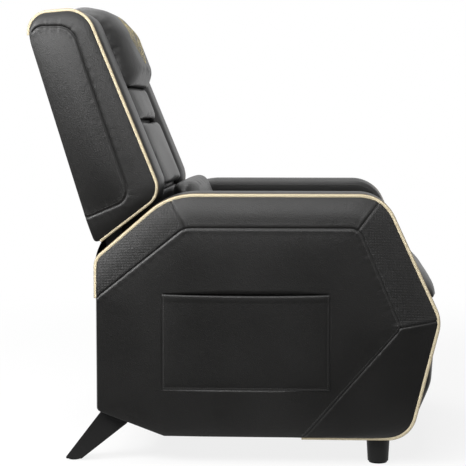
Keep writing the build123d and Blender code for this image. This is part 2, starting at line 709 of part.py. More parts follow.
# Base plate with the top pivot hole and the straight slot of the sliding pin
slot_travel = BAR_LENGTH * (math.sin(stowed) - math.sin(math.radians(OPEN_ANGLE)))
slot_low = (slide_pin[0], slide_pin[1] - SLOT_END_PLAY)
slot_high = (slide_pin[0], slide_pin[1] + slot_travel + SLOT_END_PLAY)
mechanism_plate = span(MECHANISM_PLATE_X, (-PLATE_LAYER[1], -PLATE_LAYER[0]), MECHANISM_PLATE_Z)
mechanism_plate = fillet(mechanism_plate.edges().filter_by(Axis.Y), MECHANISM_PLATE_CORNER)
mechanism_plate -= flat_bar((slot_low, slot_high), (PLATE_LAYER[0] - 1, PLATE_LAYER[1] + 1), 2 * running)
mechanism_plate -= rod(*TOP_PIVOT, running, -PLATE_LAYER[1] - 1, -PLATE_LAYER[0] + 1)

# Torque tube that turns both sides together, with a torsion spring sleeve near each end
torque_tube = rod(*TOP_PIVOT, TORQUE_TUBE_RADIUS, -A_LAYER[0], A_LAYER[0])
torque_tube -= rod(*TOP_PIVOT, TORQUE_TUBE_RADIUS - TORQUE_TUBE_WALL, -A_LAYER[1], A_LAYER[1])
spring_bore = TORQUE_TUBE_RADIUS + 1
footrest_spring = rod(*TOP_PIVOT, spring_bore + SPRING_SLEEVE_WALL, *SPRING_SLEEVE_Y)
footrest_spring -= rod(*TOP_PIVOT, spring_bore, SPRING_SLEEVE_Y[0] - 1, SPRING_SLEEVE_Y[1] + 1)
tab_z = (pivot_z - SPRING_TAB_DROP[0], pivot_z - SPRING_TAB_DROP[1])
footrest_spring += span((FRONT_RAIL_X[1], pivot_x - 10.3), SPRING_TAB_Y, tab_z)

# Footrest: board, crowned pad and hinge brackets
tilt = math.radians(FOOTREST_TILT)
board_up = Vector(math.sin(tilt), 0, math.cos(tilt))
board_out = Vector(math.cos(tilt), 0, -math.sin(tilt))


def on_footrest(along, forward):
    """Point in the side view: up the footrest from its hinge, and out from the board's back."""
    hinge = Vector(footrest_hinge[0], 0, footrest_hinge[1])
    point = hinge + board_up * along + board_out * (FOOTREST_OFFSET + forward)
    return point.X, point.Z


def footrest_section(draw_in, crown):
    """Side profile of the footrest pad: upright in front, its lower part running back to the board."""
    back = FOOTREST_BOARD_DEPTH + GAP
    front = FOOTREST_BOARD_DEPTH + FOOTREST_PAD_DEPTH - 5 + crown - 0.4 * draw_in
    depth = front - back
    low = FOOTREST_LOW + draw_in
    high = FOOTREST_TOP - draw_in
    return [
        (*on_footrest(low, back), 2),
        (*on_footrest(low + 2, back + 0.35 * depth), 0.2 * depth),
        (*on_footrest(low + FOOTREST_TAPER, front), FOOTREST_TAPER_RADIUS),
        (*on_footrest(high - 2, front), 0.55 * depth),
        (*on_footrest(high, back), 8),
    ]


footrest_pad = cross_loft([
    (-FOOTREST_PAD_HALF, footrest_section(16, -7)),
    (-FOOTREST_PAD_HALF + 9, footrest_section(5, 2)),
    (-FOOTREST_PAD_HALF + 45, footrest_section(1, 4)),
    (0, footrest_section(0, 5)),
])
board_low = FOOTREST_LOW + FOOTREST_BOARD_INSET
board_high = FOOTREST_TOP - FOOTREST_BOARD_INSET
board_outline = [
    (*on_footrest(board_low, 0), 2),
    (*on_footrest(board_low, FOOTREST_BOARD_DEPTH), 2),
    (*on_footrest(board_high, FOOTREST_BOARD_DEPTH), 2),
    (*on_footrest(board_high, 0), 2),
]
footrest_board = prism(board_outline, -FOOTREST_BOARD_HALF, FOOTREST_BOARD_HALF)
bracket_outline = [
    (control_top[0] - 12, control_top[1] - 12, 8),
    (*on_footrest(BRACKET_LOW, -0.2), 3),
    (*on_footrest(BRACKET_HIGH, -0.2), 3),
    (footrest_hinge[0] + 14, footrest_hinge[1] + 13, 8),
    (footrest_hinge[0] - 12, footrest_hinge[1] + 12, 10),
]
footrest_bracket = prism(bracket_outline, -BRACKET_LAYER[1], -BRACKET_LAYER[0])
flange_outline = [
    (*on_footrest(BRACKET_LOW, -0.2 - BRACKET_THICKNESS), 1),
    (*on_footrest(BRACKET_LOW, -0.2), 1),
    (*on_footrest(BRACKET_HIGH, -0.2), 1),
    (*on_footrest(BRACKET_HIGH, -0.2 - BRACKET_THICKNESS), 1),
]
footrest_bracket += prism(flange_outline, -BRACKET_LAYER[1], -BRACKET_LAYER[1] + BRACKET_FLANGE)
footrest_bracket -= rod(*footrest_hinge, running, -BRACKET_LAYER[1] - 1, -BRACKET_LAYER[0] + 1)
footrest_bracket += rod(*control_top, PIN_RADIUS, -C_LAYER[1], -BRACKET_LAYER[0])

# Write the arms, legs and base
save_pair("arm_top_pad", arm_top_pad)
save_pair("arm_side_pad", arm_side_pad)
save_pair("arm_inner_panel", arm_inner_panel)
save_pair("arm_outer_panel", arm_outer_panel)
save_pair("arm_inner_cover", arm_inner_cover)
save_pair("arm_piping", arm_piping)
save_pair("side_pocket", side_pocket)
save_pair("front_leg", front_leg)
save_pair("rear_leg", rear_leg)
save("arm_rails", *arm_rails, *[mirrored(rail) for rail in arm_rails])
leg_bolts = [front_bolt, rear_bolt]
save("leg_bolts", *leg_bolts, *[mirrored(bolt) for bolt in leg_bolts])
glides = [front_glide, rear_glide]
save("leg_glides", *glides, *[mirrored(glide) for glide in glides])
save("front_rail", front_rail)
save("rear_rail", rear_rail)
save("rear_panel", rear_panel)
save("rear_gusset", rear_gusset)
save("dust_cover", dust_cover)
save("seat_rails", *seat_rails)
save("seat_springs", *seat_springs)
save("seat_cushion", seat_cushion)
save("hinge_plates", hinge_plate, mirrored(hinge_plate))
save("hinge_washers", hinge_washer, mirrored(hinge_washer))
save("hinge_bolts", hinge_bolt, mirrored(hinge_bolt))
save("mechanism_plates", mechanism_plate, mirrored(mechanism_plate))
save("footrest_springs", footrest_spring, mirrored(footrest_spring))

# Write the backrest
save("back_core", back_core)
save("back_rear_cover", back_rear_cover)
save_pair("back_side_pad", back_side_pad)
save_pair("back_piping", back_piping)
save_pair("back_bolster", bolster)
save("back_pad_lower", back_pad_lower)
save("back_pad_upper", back_pad_upper)
save("headrest", headrest)
save("back_skirt", back_skirt)
save("lumbar_pillow", lumbar_pillow)
save("back_frame", back_frame)
save("back_springs", *back_springs)
save("back_brackets", back_bracket, mirrored(back_bracket))

# Write the footrest and its mechanism
save("torque_tube", torque_tube)
for name, link in (("a1", link_a1), ("b1", link_b1), ("a2", link_a2), ("b2", link_b2), ("c", link_c)):
    save(f"link_{name}", link, mirrored(link))
save("footrest_board", footrest_board)
save("footrest_pad", footrest_pad)
save("footrest_brackets", footrest_bracket, mirrored(footrest_bracket))
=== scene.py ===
import math

import bmesh
import bpy
import numpy as np
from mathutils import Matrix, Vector


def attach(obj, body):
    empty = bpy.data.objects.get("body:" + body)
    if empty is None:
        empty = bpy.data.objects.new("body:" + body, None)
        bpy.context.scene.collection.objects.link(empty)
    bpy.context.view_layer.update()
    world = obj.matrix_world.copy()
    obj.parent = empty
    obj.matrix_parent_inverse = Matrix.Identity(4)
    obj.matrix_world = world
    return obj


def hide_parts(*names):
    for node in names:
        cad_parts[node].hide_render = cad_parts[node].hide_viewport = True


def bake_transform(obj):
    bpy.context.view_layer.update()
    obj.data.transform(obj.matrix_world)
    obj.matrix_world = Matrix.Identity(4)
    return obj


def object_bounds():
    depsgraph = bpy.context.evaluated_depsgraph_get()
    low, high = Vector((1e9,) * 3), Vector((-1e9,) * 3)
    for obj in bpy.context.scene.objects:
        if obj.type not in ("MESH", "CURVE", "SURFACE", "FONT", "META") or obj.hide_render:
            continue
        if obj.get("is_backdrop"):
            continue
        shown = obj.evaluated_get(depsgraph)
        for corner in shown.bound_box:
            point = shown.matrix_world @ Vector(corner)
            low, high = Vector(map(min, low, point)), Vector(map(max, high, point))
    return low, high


# Push-back reclining gaming armchair in black leather with gold corded piping: boxed arms on
# four legs, a seat with a rolled front, a high back with a headrest and a lumbar pillow, and
# a footrest that folds out from under the seat. Metres; X forwards, Y to the sitter's left.
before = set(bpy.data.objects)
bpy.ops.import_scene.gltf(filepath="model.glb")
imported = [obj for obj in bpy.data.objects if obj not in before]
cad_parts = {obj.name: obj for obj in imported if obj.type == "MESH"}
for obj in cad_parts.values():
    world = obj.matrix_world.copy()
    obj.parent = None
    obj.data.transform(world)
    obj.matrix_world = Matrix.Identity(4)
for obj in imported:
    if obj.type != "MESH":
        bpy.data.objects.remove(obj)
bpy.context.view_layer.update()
scene = bpy.context.scene

# Studio: a white floor and backdrop, an overhead, a key and a side softbox with two fills, and a
# black card on the camera's side, seen only in gloss, that keeps flat leather dark. A long lens
# stands side on, a little above the arms.
CAMERA_PLACE = (0.20398, -3.38199, 0.77739)
CAMERA_TURN = (math.radians(90 - 3.198), 0, math.radians(2.467))
CAMERA_SHIFT = (-0.0729, -0.0939)
CAMERA_LENS, CAMERA_SENSOR = 107.07, 36
camera_data = bpy.data.cameras.new("camera")
camera_data.lens = CAMERA_LENS
camera_data.shift_x, camera_data.shift_y = CAMERA_SHIFT
camera_data.sensor_width = CAMERA_SENSOR
camera = bpy.data.objects.new("camera", camera_data)
camera.location = CAMERA_PLACE
camera.rotation_euler = CAMERA_TURN
scene.collection.objects.link(camera)
scene.camera = camera
scene.view_settings.view_transform = "Standard"


def softbox(name, place, aim, size, power):
    """Rectangular area light at a place, turned towards the point it lights."""
    data = bpy.data.lights.new(name, "AREA")
    data.shape = "RECTANGLE"
    data.size, data.size_y = size
    data.energy = power
    light = bpy.data.objects.new(name, data)
    light.location = place
    light.rotation_euler = (Vector(aim) - Vector(place)).to_track_quat("-Z", "Y").to_euler()
    scene.collection.objects.link(light)


softbox("overhead", (-0.2, 0.0, 2.6), (-0.05, 0, 0.4), (2.4, 1.8), 34)
softbox("key", (-0.60, -1.62, 1.45), (-0.10, -0.38, 0.60), (2.2, 0.6), 29)
softbox("side", (-1.4, -1.1, 1.45), (-0.35, -0.3, 0.65), (0.7, 0.7), 22)
softbox("front_fill", (2.6, -2.2, 1.6), (0.1, 0, 0.5), (1.6, 1.6), 4)
softbox("rear_fill", (-1.6, 2.2, 1.9), (-0.2, 0.3, 0.5), (1.6, 1.6), 24)


def add_node(tree, kind, inputs, **settings):
    """Shader node with its settings; each input takes a value, or a link from an output."""
    node = tree.nodes.new("ShaderNode" + kind)
    for name, value in settings.items():
        setattr(node, name, value)
    for name, value in inputs.items():
        if isinstance(value, bpy.types.NodeSocket):
            tree.links.new(value, node.inputs[name])
        else:
            node.inputs[name].default_value = value
    return node


def background_rays(tree):
    """Mask of rays that show the background: from the camera, in gloss and through glass."""
    path = add_node(tree, "LightPath", {})
    mask = path.outputs["Is Camera Ray"]
    for kind in ("Is Glossy Ray", "Is Transmission Ray"):
        either = add_node(tree, "Math", {0: mask, 1: path.outputs[kind]}, operation="MAXIMUM")
        mask = either.outputs[0]
    return mask


WORLD_FILL = 0.12
world = bpy.data.worlds.new("studio")
world.use_nodes = True
scene.world = world
studio_tree = world.node_tree
brightness = add_node(
    studio_tree,
    "MapRange",
    {"Value": background_rays(studio_tree), "To Min": WORLD_FILL, "To Max": 1.0},
)
backdrop = studio_tree.nodes["Background"]
backdrop.inputs["Color"].default_value = (1, 1, 1, 1)
studio_tree.links.new(brightness.outputs["Result"], backdrop.inputs["Strength"])


def new_material(name, colour, roughness, metallic=0.0):
    """Principled material with an even colour, to which texture nodes are then joined."""
    material = bpy.data.materials.new(name)
    material.use_nodes = True
    shader = material.node_tree.nodes["Principled BSDF"]
    shader.inputs["Base Color"].default_value = (*colour, 1)
    shader.inputs["Roughness"].default_value = roughness
    shader.inputs["Metallic"].default_value = metallic
    return material


def add_mesh(name, points, faces, material):
    """Object at the origin from points and faces, smooth shaded, its faces turned outwards."""
    mesh = bpy.data.meshes.new(name)
    mesh.from_pydata(np.asarray(points, float).reshape(-1, 3).tolist(), [], faces)
    shell = bmesh.new()
    shell.from_mesh(mesh)
    bmesh.ops.recalc_face_normals(shell, faces=shell.faces)
    shell.to_mesh(mesh)
    shell.free()
    mesh.shade_smooth()
    mesh.materials.append(material)
    piece = bpy.data.objects.new(name, mesh)
    scene.collection.objects.link(piece)
    return piece


def object_place(tree):
    """The piece's own coordinates, in metres."""
    return add_node(tree, "TexCoord", {}).outputs["Object"]


FLOOR_REACH = 14.0
FLOOR_GLOW = {"From Min": 0.9, "From Max": 2.6, "To Min": 0.84, "To Max": 1.0}
floor_points = [(x, y, 0) for x, y in ((-1, -1), (1, -1), (1, 1), (-1, 1))]
floor_white = new_material("floor_white", (0.93, 0.93, 0.93), 0.9)
floor_tree = floor_white.node_tree
floor_far = add_node(floor_tree, "VectorMath", {0: object_place(floor_tree)}, operation="LENGTH")
floor_glow = add_node(
    floor_tree,
    "MapRange",
    {"Value": floor_far.outputs["Value"], **FLOOR_GLOW},
    interpolation_type="SMOOTHSTEP",
)
floor_share = add_node(
    floor_tree,
    "Math",
    {0: background_rays(floor_tree), 1: floor_glow.outputs["Result"]},
    operation="MULTIPLY",
)
floor_mix = add_node(
    floor_tree,
    "MixShader",
    {
        "Fac": floor_share.outputs[0],
        1: floor_tree.nodes["Principled BSDF"].outputs["BSDF"],
        2: add_node(floor_tree, "Emission", {}).outputs["Emission"],
    },
)
floor_surface = floor_tree.nodes["Material Output"].inputs["Surface"]
floor_tree.links.new(floor_mix.outputs["Shader"], floor_surface)
floor = add_mesh("floor", np.array(floor_points) * FLOOR_REACH, [[0, 1, 2, 3]], floor_white)
floor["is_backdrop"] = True

CARD_REACH = 3.0
CARD_PROFILE = np.array([(-0.50, 0.004), (-1.25, 0.09), (-1.9, 0.45), (-2.3, 1.0)])
card_points = [[(x, y, z) for x in (-CARD_REACH, CARD_REACH)] for y, z in CARD_PROFILE]
black_card = add_mesh(
    "black_card",
    card_points,
    [[2 * k, 2 * k + 1, 2 * k + 3, 2 * k + 2] for k in range(len(CARD_PROFILE) - 1)],
    new_material("card_black", (0.02, 0.02, 0.02), 0.9),
)
for rays in ("camera", "diffuse", "shadow", "transmission"):
    setattr(black_card, f"visible_{rays}", False)
black_card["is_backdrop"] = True

# Frame of the arms and base: plywood panels, rails and the footrest board, cut from birch ply
# with a straight grain. The rails under the seat, which show above the footrest, and the
# footrest board are stained black.
PLY_STRETCH = (1, 9, 9)
PLY_GRAIN = 14.0


def two_tones(tree, share, first, second):
    """Colour that goes from the first tone to the second as the share goes from 0 to 1."""
    tones = {"Factor": share, "A": first, "B": second}
    return add_node(tree, "Mix", tones, data_type="RGBA").outputs["Result"]


def join(tree, output, socket):
    """Join a node's output to an input of the material's shader."""
    tree.links.new(output, tree.nodes["Principled BSDF"].inputs[socket])


def wood_material(name, light, dark):
    """Wood: noise stretched along X mixes two tones."""
    material = new_material(name, light, 0.6)
    tree = material.node_tree
    stretch = add_node(tree, "Mapping", {"Vector": object_place(tree), "Scale": PLY_STRETCH})
    grain = {"Vector": stretch.outputs["Vector"], "Scale": PLY_GRAIN, "Detail": 6}
    share = add_node(tree, "TexNoise", grain).outputs["Fac"]
    join(tree, two_tones(tree, share, (*light, 1), (*dark, 1)), "Base Color")
    return material


def dress(nodes, material):
    """Give CAD nodes that stay in sight their material."""
    for name in nodes:
        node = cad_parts[name]
        node.data.materials.clear()
        node.data.materials.append(material)


plywood = wood_material("plywood", (0.55, 0.40, 0.25), (0.40, 0.27, 0.15))
for side in ("right", "left"):
    dress([f"arm_inner_panel_{side}", f"arm_outer_panel_{side}"], plywood)
dress(["arm_rails", "rear_rail"], plywood)
plywood_stained = wood_material("plywood_stained", (0.030, 0.024, 0.019), (0.018, 0.014, 0.011))
dress(["front_rail", "seat_rails", "footrest_board"], plywood_stained)

# Legs, moulded in black plastic with a fine spark-eroded texture, on softer glides; they hang
# on bolts from the arms' floor rails.


def add_bump(tree, height, distance, **under):
    """Raise the surface by a height; under may give the normal of a bump that lies beneath."""
    bump = add_node(tree, "Bump", {"Height": height, "Distance": distance, **under})
    join(tree, bump.outputs["Normal"], "Normal")
    return bump


def speckled_material(name, colour, roughness, metallic, scale, distance):
    """Even finish broken by a fine speckle of the given scale per metre."""
    material = new_material(name, colour, roughness, metallic)
    tree = material.node_tree
    speckle = add_node(tree, "TexNoise", {"Vector": object_place(tree), "Scale": scale})
    add_bump(tree, speckle.outputs["Fac"], distance)
    return material


PLASTIC_SPECULAR = 0.2
plastic_black = speckled_material("plastic_black", (0.008, 0.008, 0.008), 0.5, 0, 900, 0.0002)
plastic_shader = plastic_black.node_tree.nodes["Principled BSDF"]
plastic_shader.inputs["Specular IOR Level"].default_value = PLASTIC_SPECULAR
for side in ("right", "left"):
    dress([f"front_leg_{side}", f"rear_leg_{side}"], plastic_black)
dress(["leg_glides"], plastic_black)

# Steelwork: powder-coated hinge plates, back frame and lazy tong, with bright zinc bolts,
# springs and washers.
steel_black = speckled_material("steel_black", (0.02, 0.02, 0.022), 0.5, 0.2, 700, 0.0001)
steel_bright = speckled_material("steel_bright", (0.62, 0.63, 0.65), 0.32, 1, 350, 0.00005)
dress(["hinge_plates", "mechanism_plates", "back_frame", "back_brackets"], steel_black)
dress(["torque_tube", "footrest_brackets"], steel_black)
dress([f"link_{bar}" for bar in ("a1", "b1", "a2", "b2", "c")], steel_black)
dress(["leg_bolts", "hinge_bolts", "hinge_washers"], steel_bright)
dress([f"{part}_springs" for part in ("seat", "back", "footrest")], steel_bright)

# Arm sides: a padded leather panel each side, with a flat middle, bevelled strips along the
# rear, top and front, sewn seams between them, and a recess behind the pocket. The rear and
# upper front strips have a fine woven emboss.
DATUM = np.array([0.00565, 0.010])


def side_view(*corners):
    """Points of the side view, drawn from the datum as x and z, perhaps with a radius, set in
    the chair's frame."""
    points = np.array(corners, float)
    points[:, :2] += DATUM
    return points


ARM_OUTLINE = side_view(
    (-0.160, 0.050, 0.020),
    (0.381, 0.050, 0.060),
    (0.447, 0.312, 0.070),
    (0.322, 0.584, 0.080),
    (-0.146, 0.584, 0.150),
    (-0.310, 0.443, 0.035),
    (-0.310, 0.106, 0.010),
)
ARM_SEAM = side_view(
    (-0.158, 0.055, 0.012),
    (0.149, 0.055, 0.012),
    (0.362, 0.297, 0.014),
    (0.270, 0.514, 0.028),
    (-0.113, 0.514, 0.040),
    (-0.305, 0.361, 0.014),
    (-0.305, 0.110, 0.012),
)
ARC_POINTS = 25


def corner_arc(corners, k):
    """Points along the arc that rounds corner k of an outline, given as rows of x, z, radius."""
    count = len(corners)
    corner = corners[k % count, :2]
    back = corners[(k - 1) % count, :2] - corner
    ahead = corners[(k + 1) % count, :2] - corner
    back = back / np.hypot(*back)
    ahead = ahead / np.hypot(*ahead)
    radius = corners[k % count, 2]
    half = np.arccos(back @ ahead) / 2
    middle = (back + ahead) / np.hypot(*(back + ahead))
    centre = corner + middle * radius / np.sin(half)
    spoke = corner + back * radius / np.tan(half) - centre
    side = np.sign(back[1] * ahead[0] - back[0] * ahead[1])
    turn = side * np.linspace(0, np.pi - 2 * half, ARC_POINTS)
    x = np.cos(turn) * spoke[0] - np.sin(turn) * spoke[1]
    z = np.sin(turn) * spoke[0] + np.cos(turn) * spoke[1]
    return centre + np.stack([x, z], axis=1)


def side_points(corners, k, shares):
    """Points on side k of a rounded outline, at shares of the way from the middle of corner k's
    arc to the middle of the next corner's arc."""
    half = ARC_POINTS // 2
    path = np.concatenate([corner_arc(corners, k)[half:], corner_arc(corners, k + 1)[: half + 1]])
    reach = np.concatenate([[0], np.cumsum(np.hypot(*np.diff(path, axis=0).T))])
    reach = reach / reach[-1]
    return np.stack([np.interp(shares, reach, path[:, axis]) for axis in (0, 1)], axis=1)


NEAR = np.array([0, 0.004, 0.009, 0.015, 0.023, 0.034, 0.05, 0.07, 0.09, 0.11, 0.13])
SHARES = np.concatenate([NEAR, np.linspace(0.15, 0.85, 41), 1 - NEAR[:0:-1]])


def ring(corners):
    """Closed ring of points round an outline, close together near its corners."""
    return np.concatenate([side_points(corners, k, SHARES) for k in range(len(corners))])


def moved_sides(corners, shifts):
    """Outline whose sides move outwards by shifts, one for each side or one for all."""
    shifts = np.broadcast_to(np.asarray(shifts, float), len(corners))
    along = np.roll(corners[:, :2], -1, axis=0) - corners[:, :2]
    along = along / np.hypot(*along.T)[:, None]
    out = np.stack([along[:, 1], -along[:, 0]], axis=1)
    level = np.sum(out * corners[:, :2], axis=1) + shifts
    last_out, last_level = np.roll(out, 1, axis=0), np.roll(level, 1)
    det = last_out[:, 0] * out[:, 1] - last_out[:, 1] * out[:, 0]
    x = (last_level * out[:, 1] - last_out[:, 1] * level) / det
    z = (last_out[:, 0] * level - last_level * out[:, 0]) / det
    radius = np.maximum(corners[:, 2] + (shifts + np.roll(shifts, 1)) / 2, 0.003)
    return np.stack([x, z, radius], axis=1)


def at_y(points, y):
    """Points of the side view set at Y, which may vary from point to point."""
    return np.stack([points[:, 0], np.broadcast_to(y, len(points)), points[:, 1]], axis=1)


def nearest_on(points, path):
    """Nearest place on a path to each point, and how far along the path it is."""
    start, step = path[:-1], np.diff(path, axis=0)
    length = np.linalg.norm(step, axis=1)
    before = np.cumsum(length) - length
    offset = points[:, None] - start
    share = np.clip(np.sum(offset * step, axis=2) / np.maximum(length**2, 1e-12), 0, 1)
    gap = np.linalg.norm(offset - share[..., None] * step, axis=2)
    nearest = np.argmin(gap, axis=1)
    share = share[np.arange(len(points)), nearest]
    place = start[nearest] + share[:, None] * step[nearest]
    return place, before[nearest] + share * length[nearest]


PUCKER_REACH = 0.007


def seam_relief(points, path, depth=0.0016, width=0.0015, pucker=0.00025):
    """Height of padded leather near a sewn seam: a narrow valley at the seam, a soft roll beside
    it, and small puckers across the seam that fade within two centimetres."""
    place, along = nearest_on(points, path)
    gap = np.linalg.norm(points - place, axis=1)
    valley = -depth * np.exp(-((gap / width) ** 2))
    roll = 0.45 * depth * np.exp(-(((gap - 4 * width) / (2.5 * width)) ** 2))
    waves = np.sin(along * 390) + 0.8 * np.sin(along * 233 + 1.3) + 0.6 * np.sin(along * 617 + 0.4)
    fade = np.exp(-((gap - PUCKER_REACH) / PUCKER_REACH) ** 2)
    return valley + roll + pucker * waves * fade


def grid_faces(rows, columns, closed=True, start=0):
    """Quads between neighbouring points of a grid; closed joins the last column to the first."""
    across = columns if closed else columns - 1
    r, c = np.meshgrid(np.arange(rows - 1), np.arange(across), indexing="ij")
    following = (c + 1) % columns
    corners = [r * columns + c, r * columns + following]
    corners += [(r + 1) * columns + following, (r + 1) * columns + c]
    return (start + np.stack(corners, axis=-1).reshape(-1, 4)).tolist()


def fan(first, columns, pole):
    """Triangles from one row of points to a single point."""
    c = np.arange(columns)
    return np.stack([first + c, first + (c + 1) % columns, np.full(columns, pole)], axis=1).tolist()


def grain_group():
    """Shader group: pores and folds of leather as a height, and slow changes of tone."""
    group = bpy.data.node_groups.new("leather_grain", "ShaderNodeTree")
    for name, way in (("Pores", "INPUT"), ("Height", "OUTPUT"), ("Tone", "OUTPUT")):
        group.interface.new_socket(name, in_out=way, socket_type="NodeSocketFloat")
    given = group.nodes.new("NodeGroupInput")
    result = group.nodes.new("NodeGroupOutput")
    place = object_place(group)
    pores = {"Vector": place, "Scale": given.outputs["Pores"]}
    pores = add_node(group, "TexVoronoi", pores, feature="SMOOTH_F1").outputs["Distance"]
    folds = add_node(group, "TexNoise", {"Vector": place, "Scale": 60, "Detail": 5}).outputs["Fac"]
    tone = add_node(group, "TexNoise", {"Vector": place, "Scale": 7, "Detail": 3}).outputs["Fac"]
    height = add_node(group, "Math", {0: pores, 1: 0.8, 2: folds}, operation="MULTIPLY_ADD")
    group.links.new(height.outputs[0], result.inputs["Height"])
    group.links.new(tone, result.inputs["Tone"])
    return group


leather_grain = grain_group()
PORES_PER_METRE = 520
LEATHER_SPECULAR = 0.38
LEATHER_DARK, LEATHER_LIGHT = (0.0078, 0.0076, 0.0073), (0.0108, 0.0105, 0.0101)
LEATHER_ROUGHNESS = {"From Min": 0.3, "From Max": 0.7, "To Min": 0.38, "To Max": 0.46}


def leather_material(name):
    """Finished leather: two tones and two roughnesses mixed by the grain's tone, with pores."""
    material = new_material(name, LEATHER_DARK, LEATHER_ROUGHNESS["To Min"])
    tree = material.node_tree
    specular = tree.nodes["Principled BSDF"].inputs["Specular IOR Level"]
    specular.default_value = LEATHER_SPECULAR
    grain = add_node(tree, "Group", {"Pores": PORES_PER_METRE}, node_tree=leather_grain)
    tone = grain.outputs["Tone"]
    gloss = add_node(tree, "MapRange", {"Value": tone, **LEATHER_ROUGHNESS})
    join(tree, two_tones(tree, tone, (*LEATHER_DARK, 1), (*LEATHER_LIGHT, 1)), "Base Color")
    join(tree, gloss.outputs["Result"], "Roughness")
    add_bump(tree, grain.outputs["Height"], 0.0004).name = "grain_bump"
    return material


leather_black = leather_material("leather_black")
leather_panel = leather_material("leather_panel")


def add_weave(material, attribute, period):
    """Woven emboss where the attribute is one: the higher of fine ribs along X and along Z."""
    tree = material.node_tree
    ribs = {"Vector": object_place(tree), "Scale": 2 * math.pi / 20 / period}
    along, up = (
        add_node(tree, "TexWave", ribs, bands_direction=axis).outputs["Fac"] for axis in ("X", "Z")
    )
    over = add_node(tree, "Math", {0: along, 1: up}, operation="MAXIMUM").outputs[0]
    where = add_node(tree, "Attribute", {}, attribute_name=attribute).outputs["Fac"]
    height = add_node(tree, "Math", {0: over, 1: where}, operation="MULTIPLY").outputs[0]
    add_bump(tree, height, 0.0005, Normal=tree.nodes["grain_bump"].outputs["Normal"])


WEAVE_PERIOD = 0.0034
add_weave(leather_panel, "weave", WEAVE_PERIOD)

SIDE_EDGE_Y = 0.3632
SIDE_SEAM_Y = 0.3790
SIDE_MIDDLE_Y = 0.3828
STRIP_BULGE = 0.0035
FIELD_SOFTNESS = 0.028
POCKET_MIDDLE = side_view((0.0225, 0.265))[0]
POCKET_HALF = np.array([0.1790, 0.1045])
POCKET_DEPTH = 0.006
STRIP_ROWS = (0, 0.03, 0.08, 0.16, 0.27, 0.4, 0.53, 0.66, 0.77, 0.86, 0.92, 0.955, 0.98, 1)
FIELD_ROWS = (0.01, 0.022, 0.037, 0.055, 0.08, 0.12, 0.18, 0.26)
FIELD_ROWS += (0.36, 0.48, 0.6, 0.72, 0.84, 0.93, 1)
EDGE_TUCK = 0.002
FULL_STRIP = 0.05


def relief(rows, paths):
    """Push a padded side's rows of points in and out of the side along its seams."""
    flat = rows.reshape(-1, 3)
    flat[:, 1] += sum(seam_relief(flat[:, [0, 2]], path) for path in paths)
    return flat.reshape(rows.shape)


def capped(rows, pole):
    """Points and faces of rings that close to one point after the last ring."""
    columns = rows.shape[1]
    last = (len(rows) - 1) * columns
    faces = grid_faces(len(rows), columns) + fan(last, columns, last + columns)
    return np.concatenate([rows.reshape(-1, 3), pole]), faces


def corner_line(outline, seam, k):
    """Seam from the middle of an outline's corner to the same corner of the inner seam."""
    half = ARC_POINTS // 2
    return np.stack([corner_arc(outline, k)[half], corner_arc(seam, k)[half]])


def seam_path(seam, sides):
    """Path along several sides of a seam outline, one after the other."""
    return np.concatenate([side_points(seam, k, np.linspace(0, 1, 30)) for k in sides])


arm_edge = moved_sides(ARM_OUTLINE, -EDGE_TUCK)
outer_ring = ring(arm_edge)
seam_ring = ring(ARM_SEAM)
ray = seam_ring - POCKET_MIDDLE
reach = np.min(POCKET_HALF / np.maximum(np.abs(ray), 1e-9), axis=1)
pocket_ring = POCKET_MIDDLE + ray * reach[:, None]
strip_width = np.linalg.norm(seam_ring - outer_ring, axis=1)
bulge = STRIP_BULGE * np.clip(strip_width / FULL_STRIP, 0, 1)
strip = [
    at_y(
        outer_ring + (seam_ring - outer_ring) * v,
        SIDE_EDGE_Y + (SIDE_SEAM_Y - SIDE_EDGE_Y) * v**0.85 + bulge * np.sin(np.pi * v),
    )
    for v in STRIP_ROWS
]
field_width = np.linalg.norm(pocket_ring - seam_ring, axis=1)
field = [
    at_y(
        seam_ring + (pocket_ring - seam_ring) * v,
        SIDE_SEAM_Y
        + (SIDE_MIDDLE_Y - SIDE_SEAM_Y) * (1 - np.exp(-v * field_width / FIELD_SOFTNESS)),
    )
    for v in FIELD_ROWS
]
arm_rows = relief(
    np.stack(strip + field),
    [seam_path(ARM_SEAM, (1, 2, 3, 4))]
    + [corner_line(arm_edge, ARM_SEAM, k) for k in (2, 3, 4)],
)
recess_y = SIDE_MIDDLE_Y - POCKET_DEPTH
recess = [
    at_y(POCKET_MIDDLE + (pocket_ring - POCKET_MIDDLE) * v, recess_y) for v in (1, 0.98, 0.5)
]
arm_rows = np.concatenate([arm_rows, np.stack(recess)])
arm_side_points, arm_side_faces = capped(arm_rows, at_y(POCKET_MIDDLE[None], recess_y))
side_index = np.repeat(np.arange(len(ARM_OUTLINE)), len(SHARES))
woven = np.zeros(arm_rows.shape[:2], np.float32)
woven[: len(strip) - 1, np.isin(side_index, (2, 4))] = 1
woven = np.append(woven.reshape(-1), np.float32(0))
SIDES = (("right", -1), ("left", 1))


def fit(piece, body, slot, *nodes, fill=None):
    """Let a piece ride on a body in place of the CAD nodes it stands for, which are hidden; the
    slot and fill arguments are not used."""
    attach(piece, body)
    if nodes:
        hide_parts(*nodes)


def on_side(points, side):
    """Points of a right or left piece: the same shape on either side of the chair."""
    return np.asarray(points).reshape(-1, 3) * (1, side, 1)


def lengths_along(path):
    """Length of a path from its start to each of its points."""
    return np.concatenate([[0], np.cumsum(np.linalg.norm(np.diff(path, axis=0), axis=1))])


def even_path(path, step):
    """The same path with its points an even step apart."""
    reach = lengths_along(path)
    places = np.linspace(0, reach[-1], max(2, int(round(reach[-1] / step)) + 1))
    return np.stack([np.interp(places, reach, values) for values in path.T], axis=1)


def unit(rows):
    """Rows of vectors, each one metre long."""
    return rows / np.linalg.norm(rows, axis=1)[:, None]


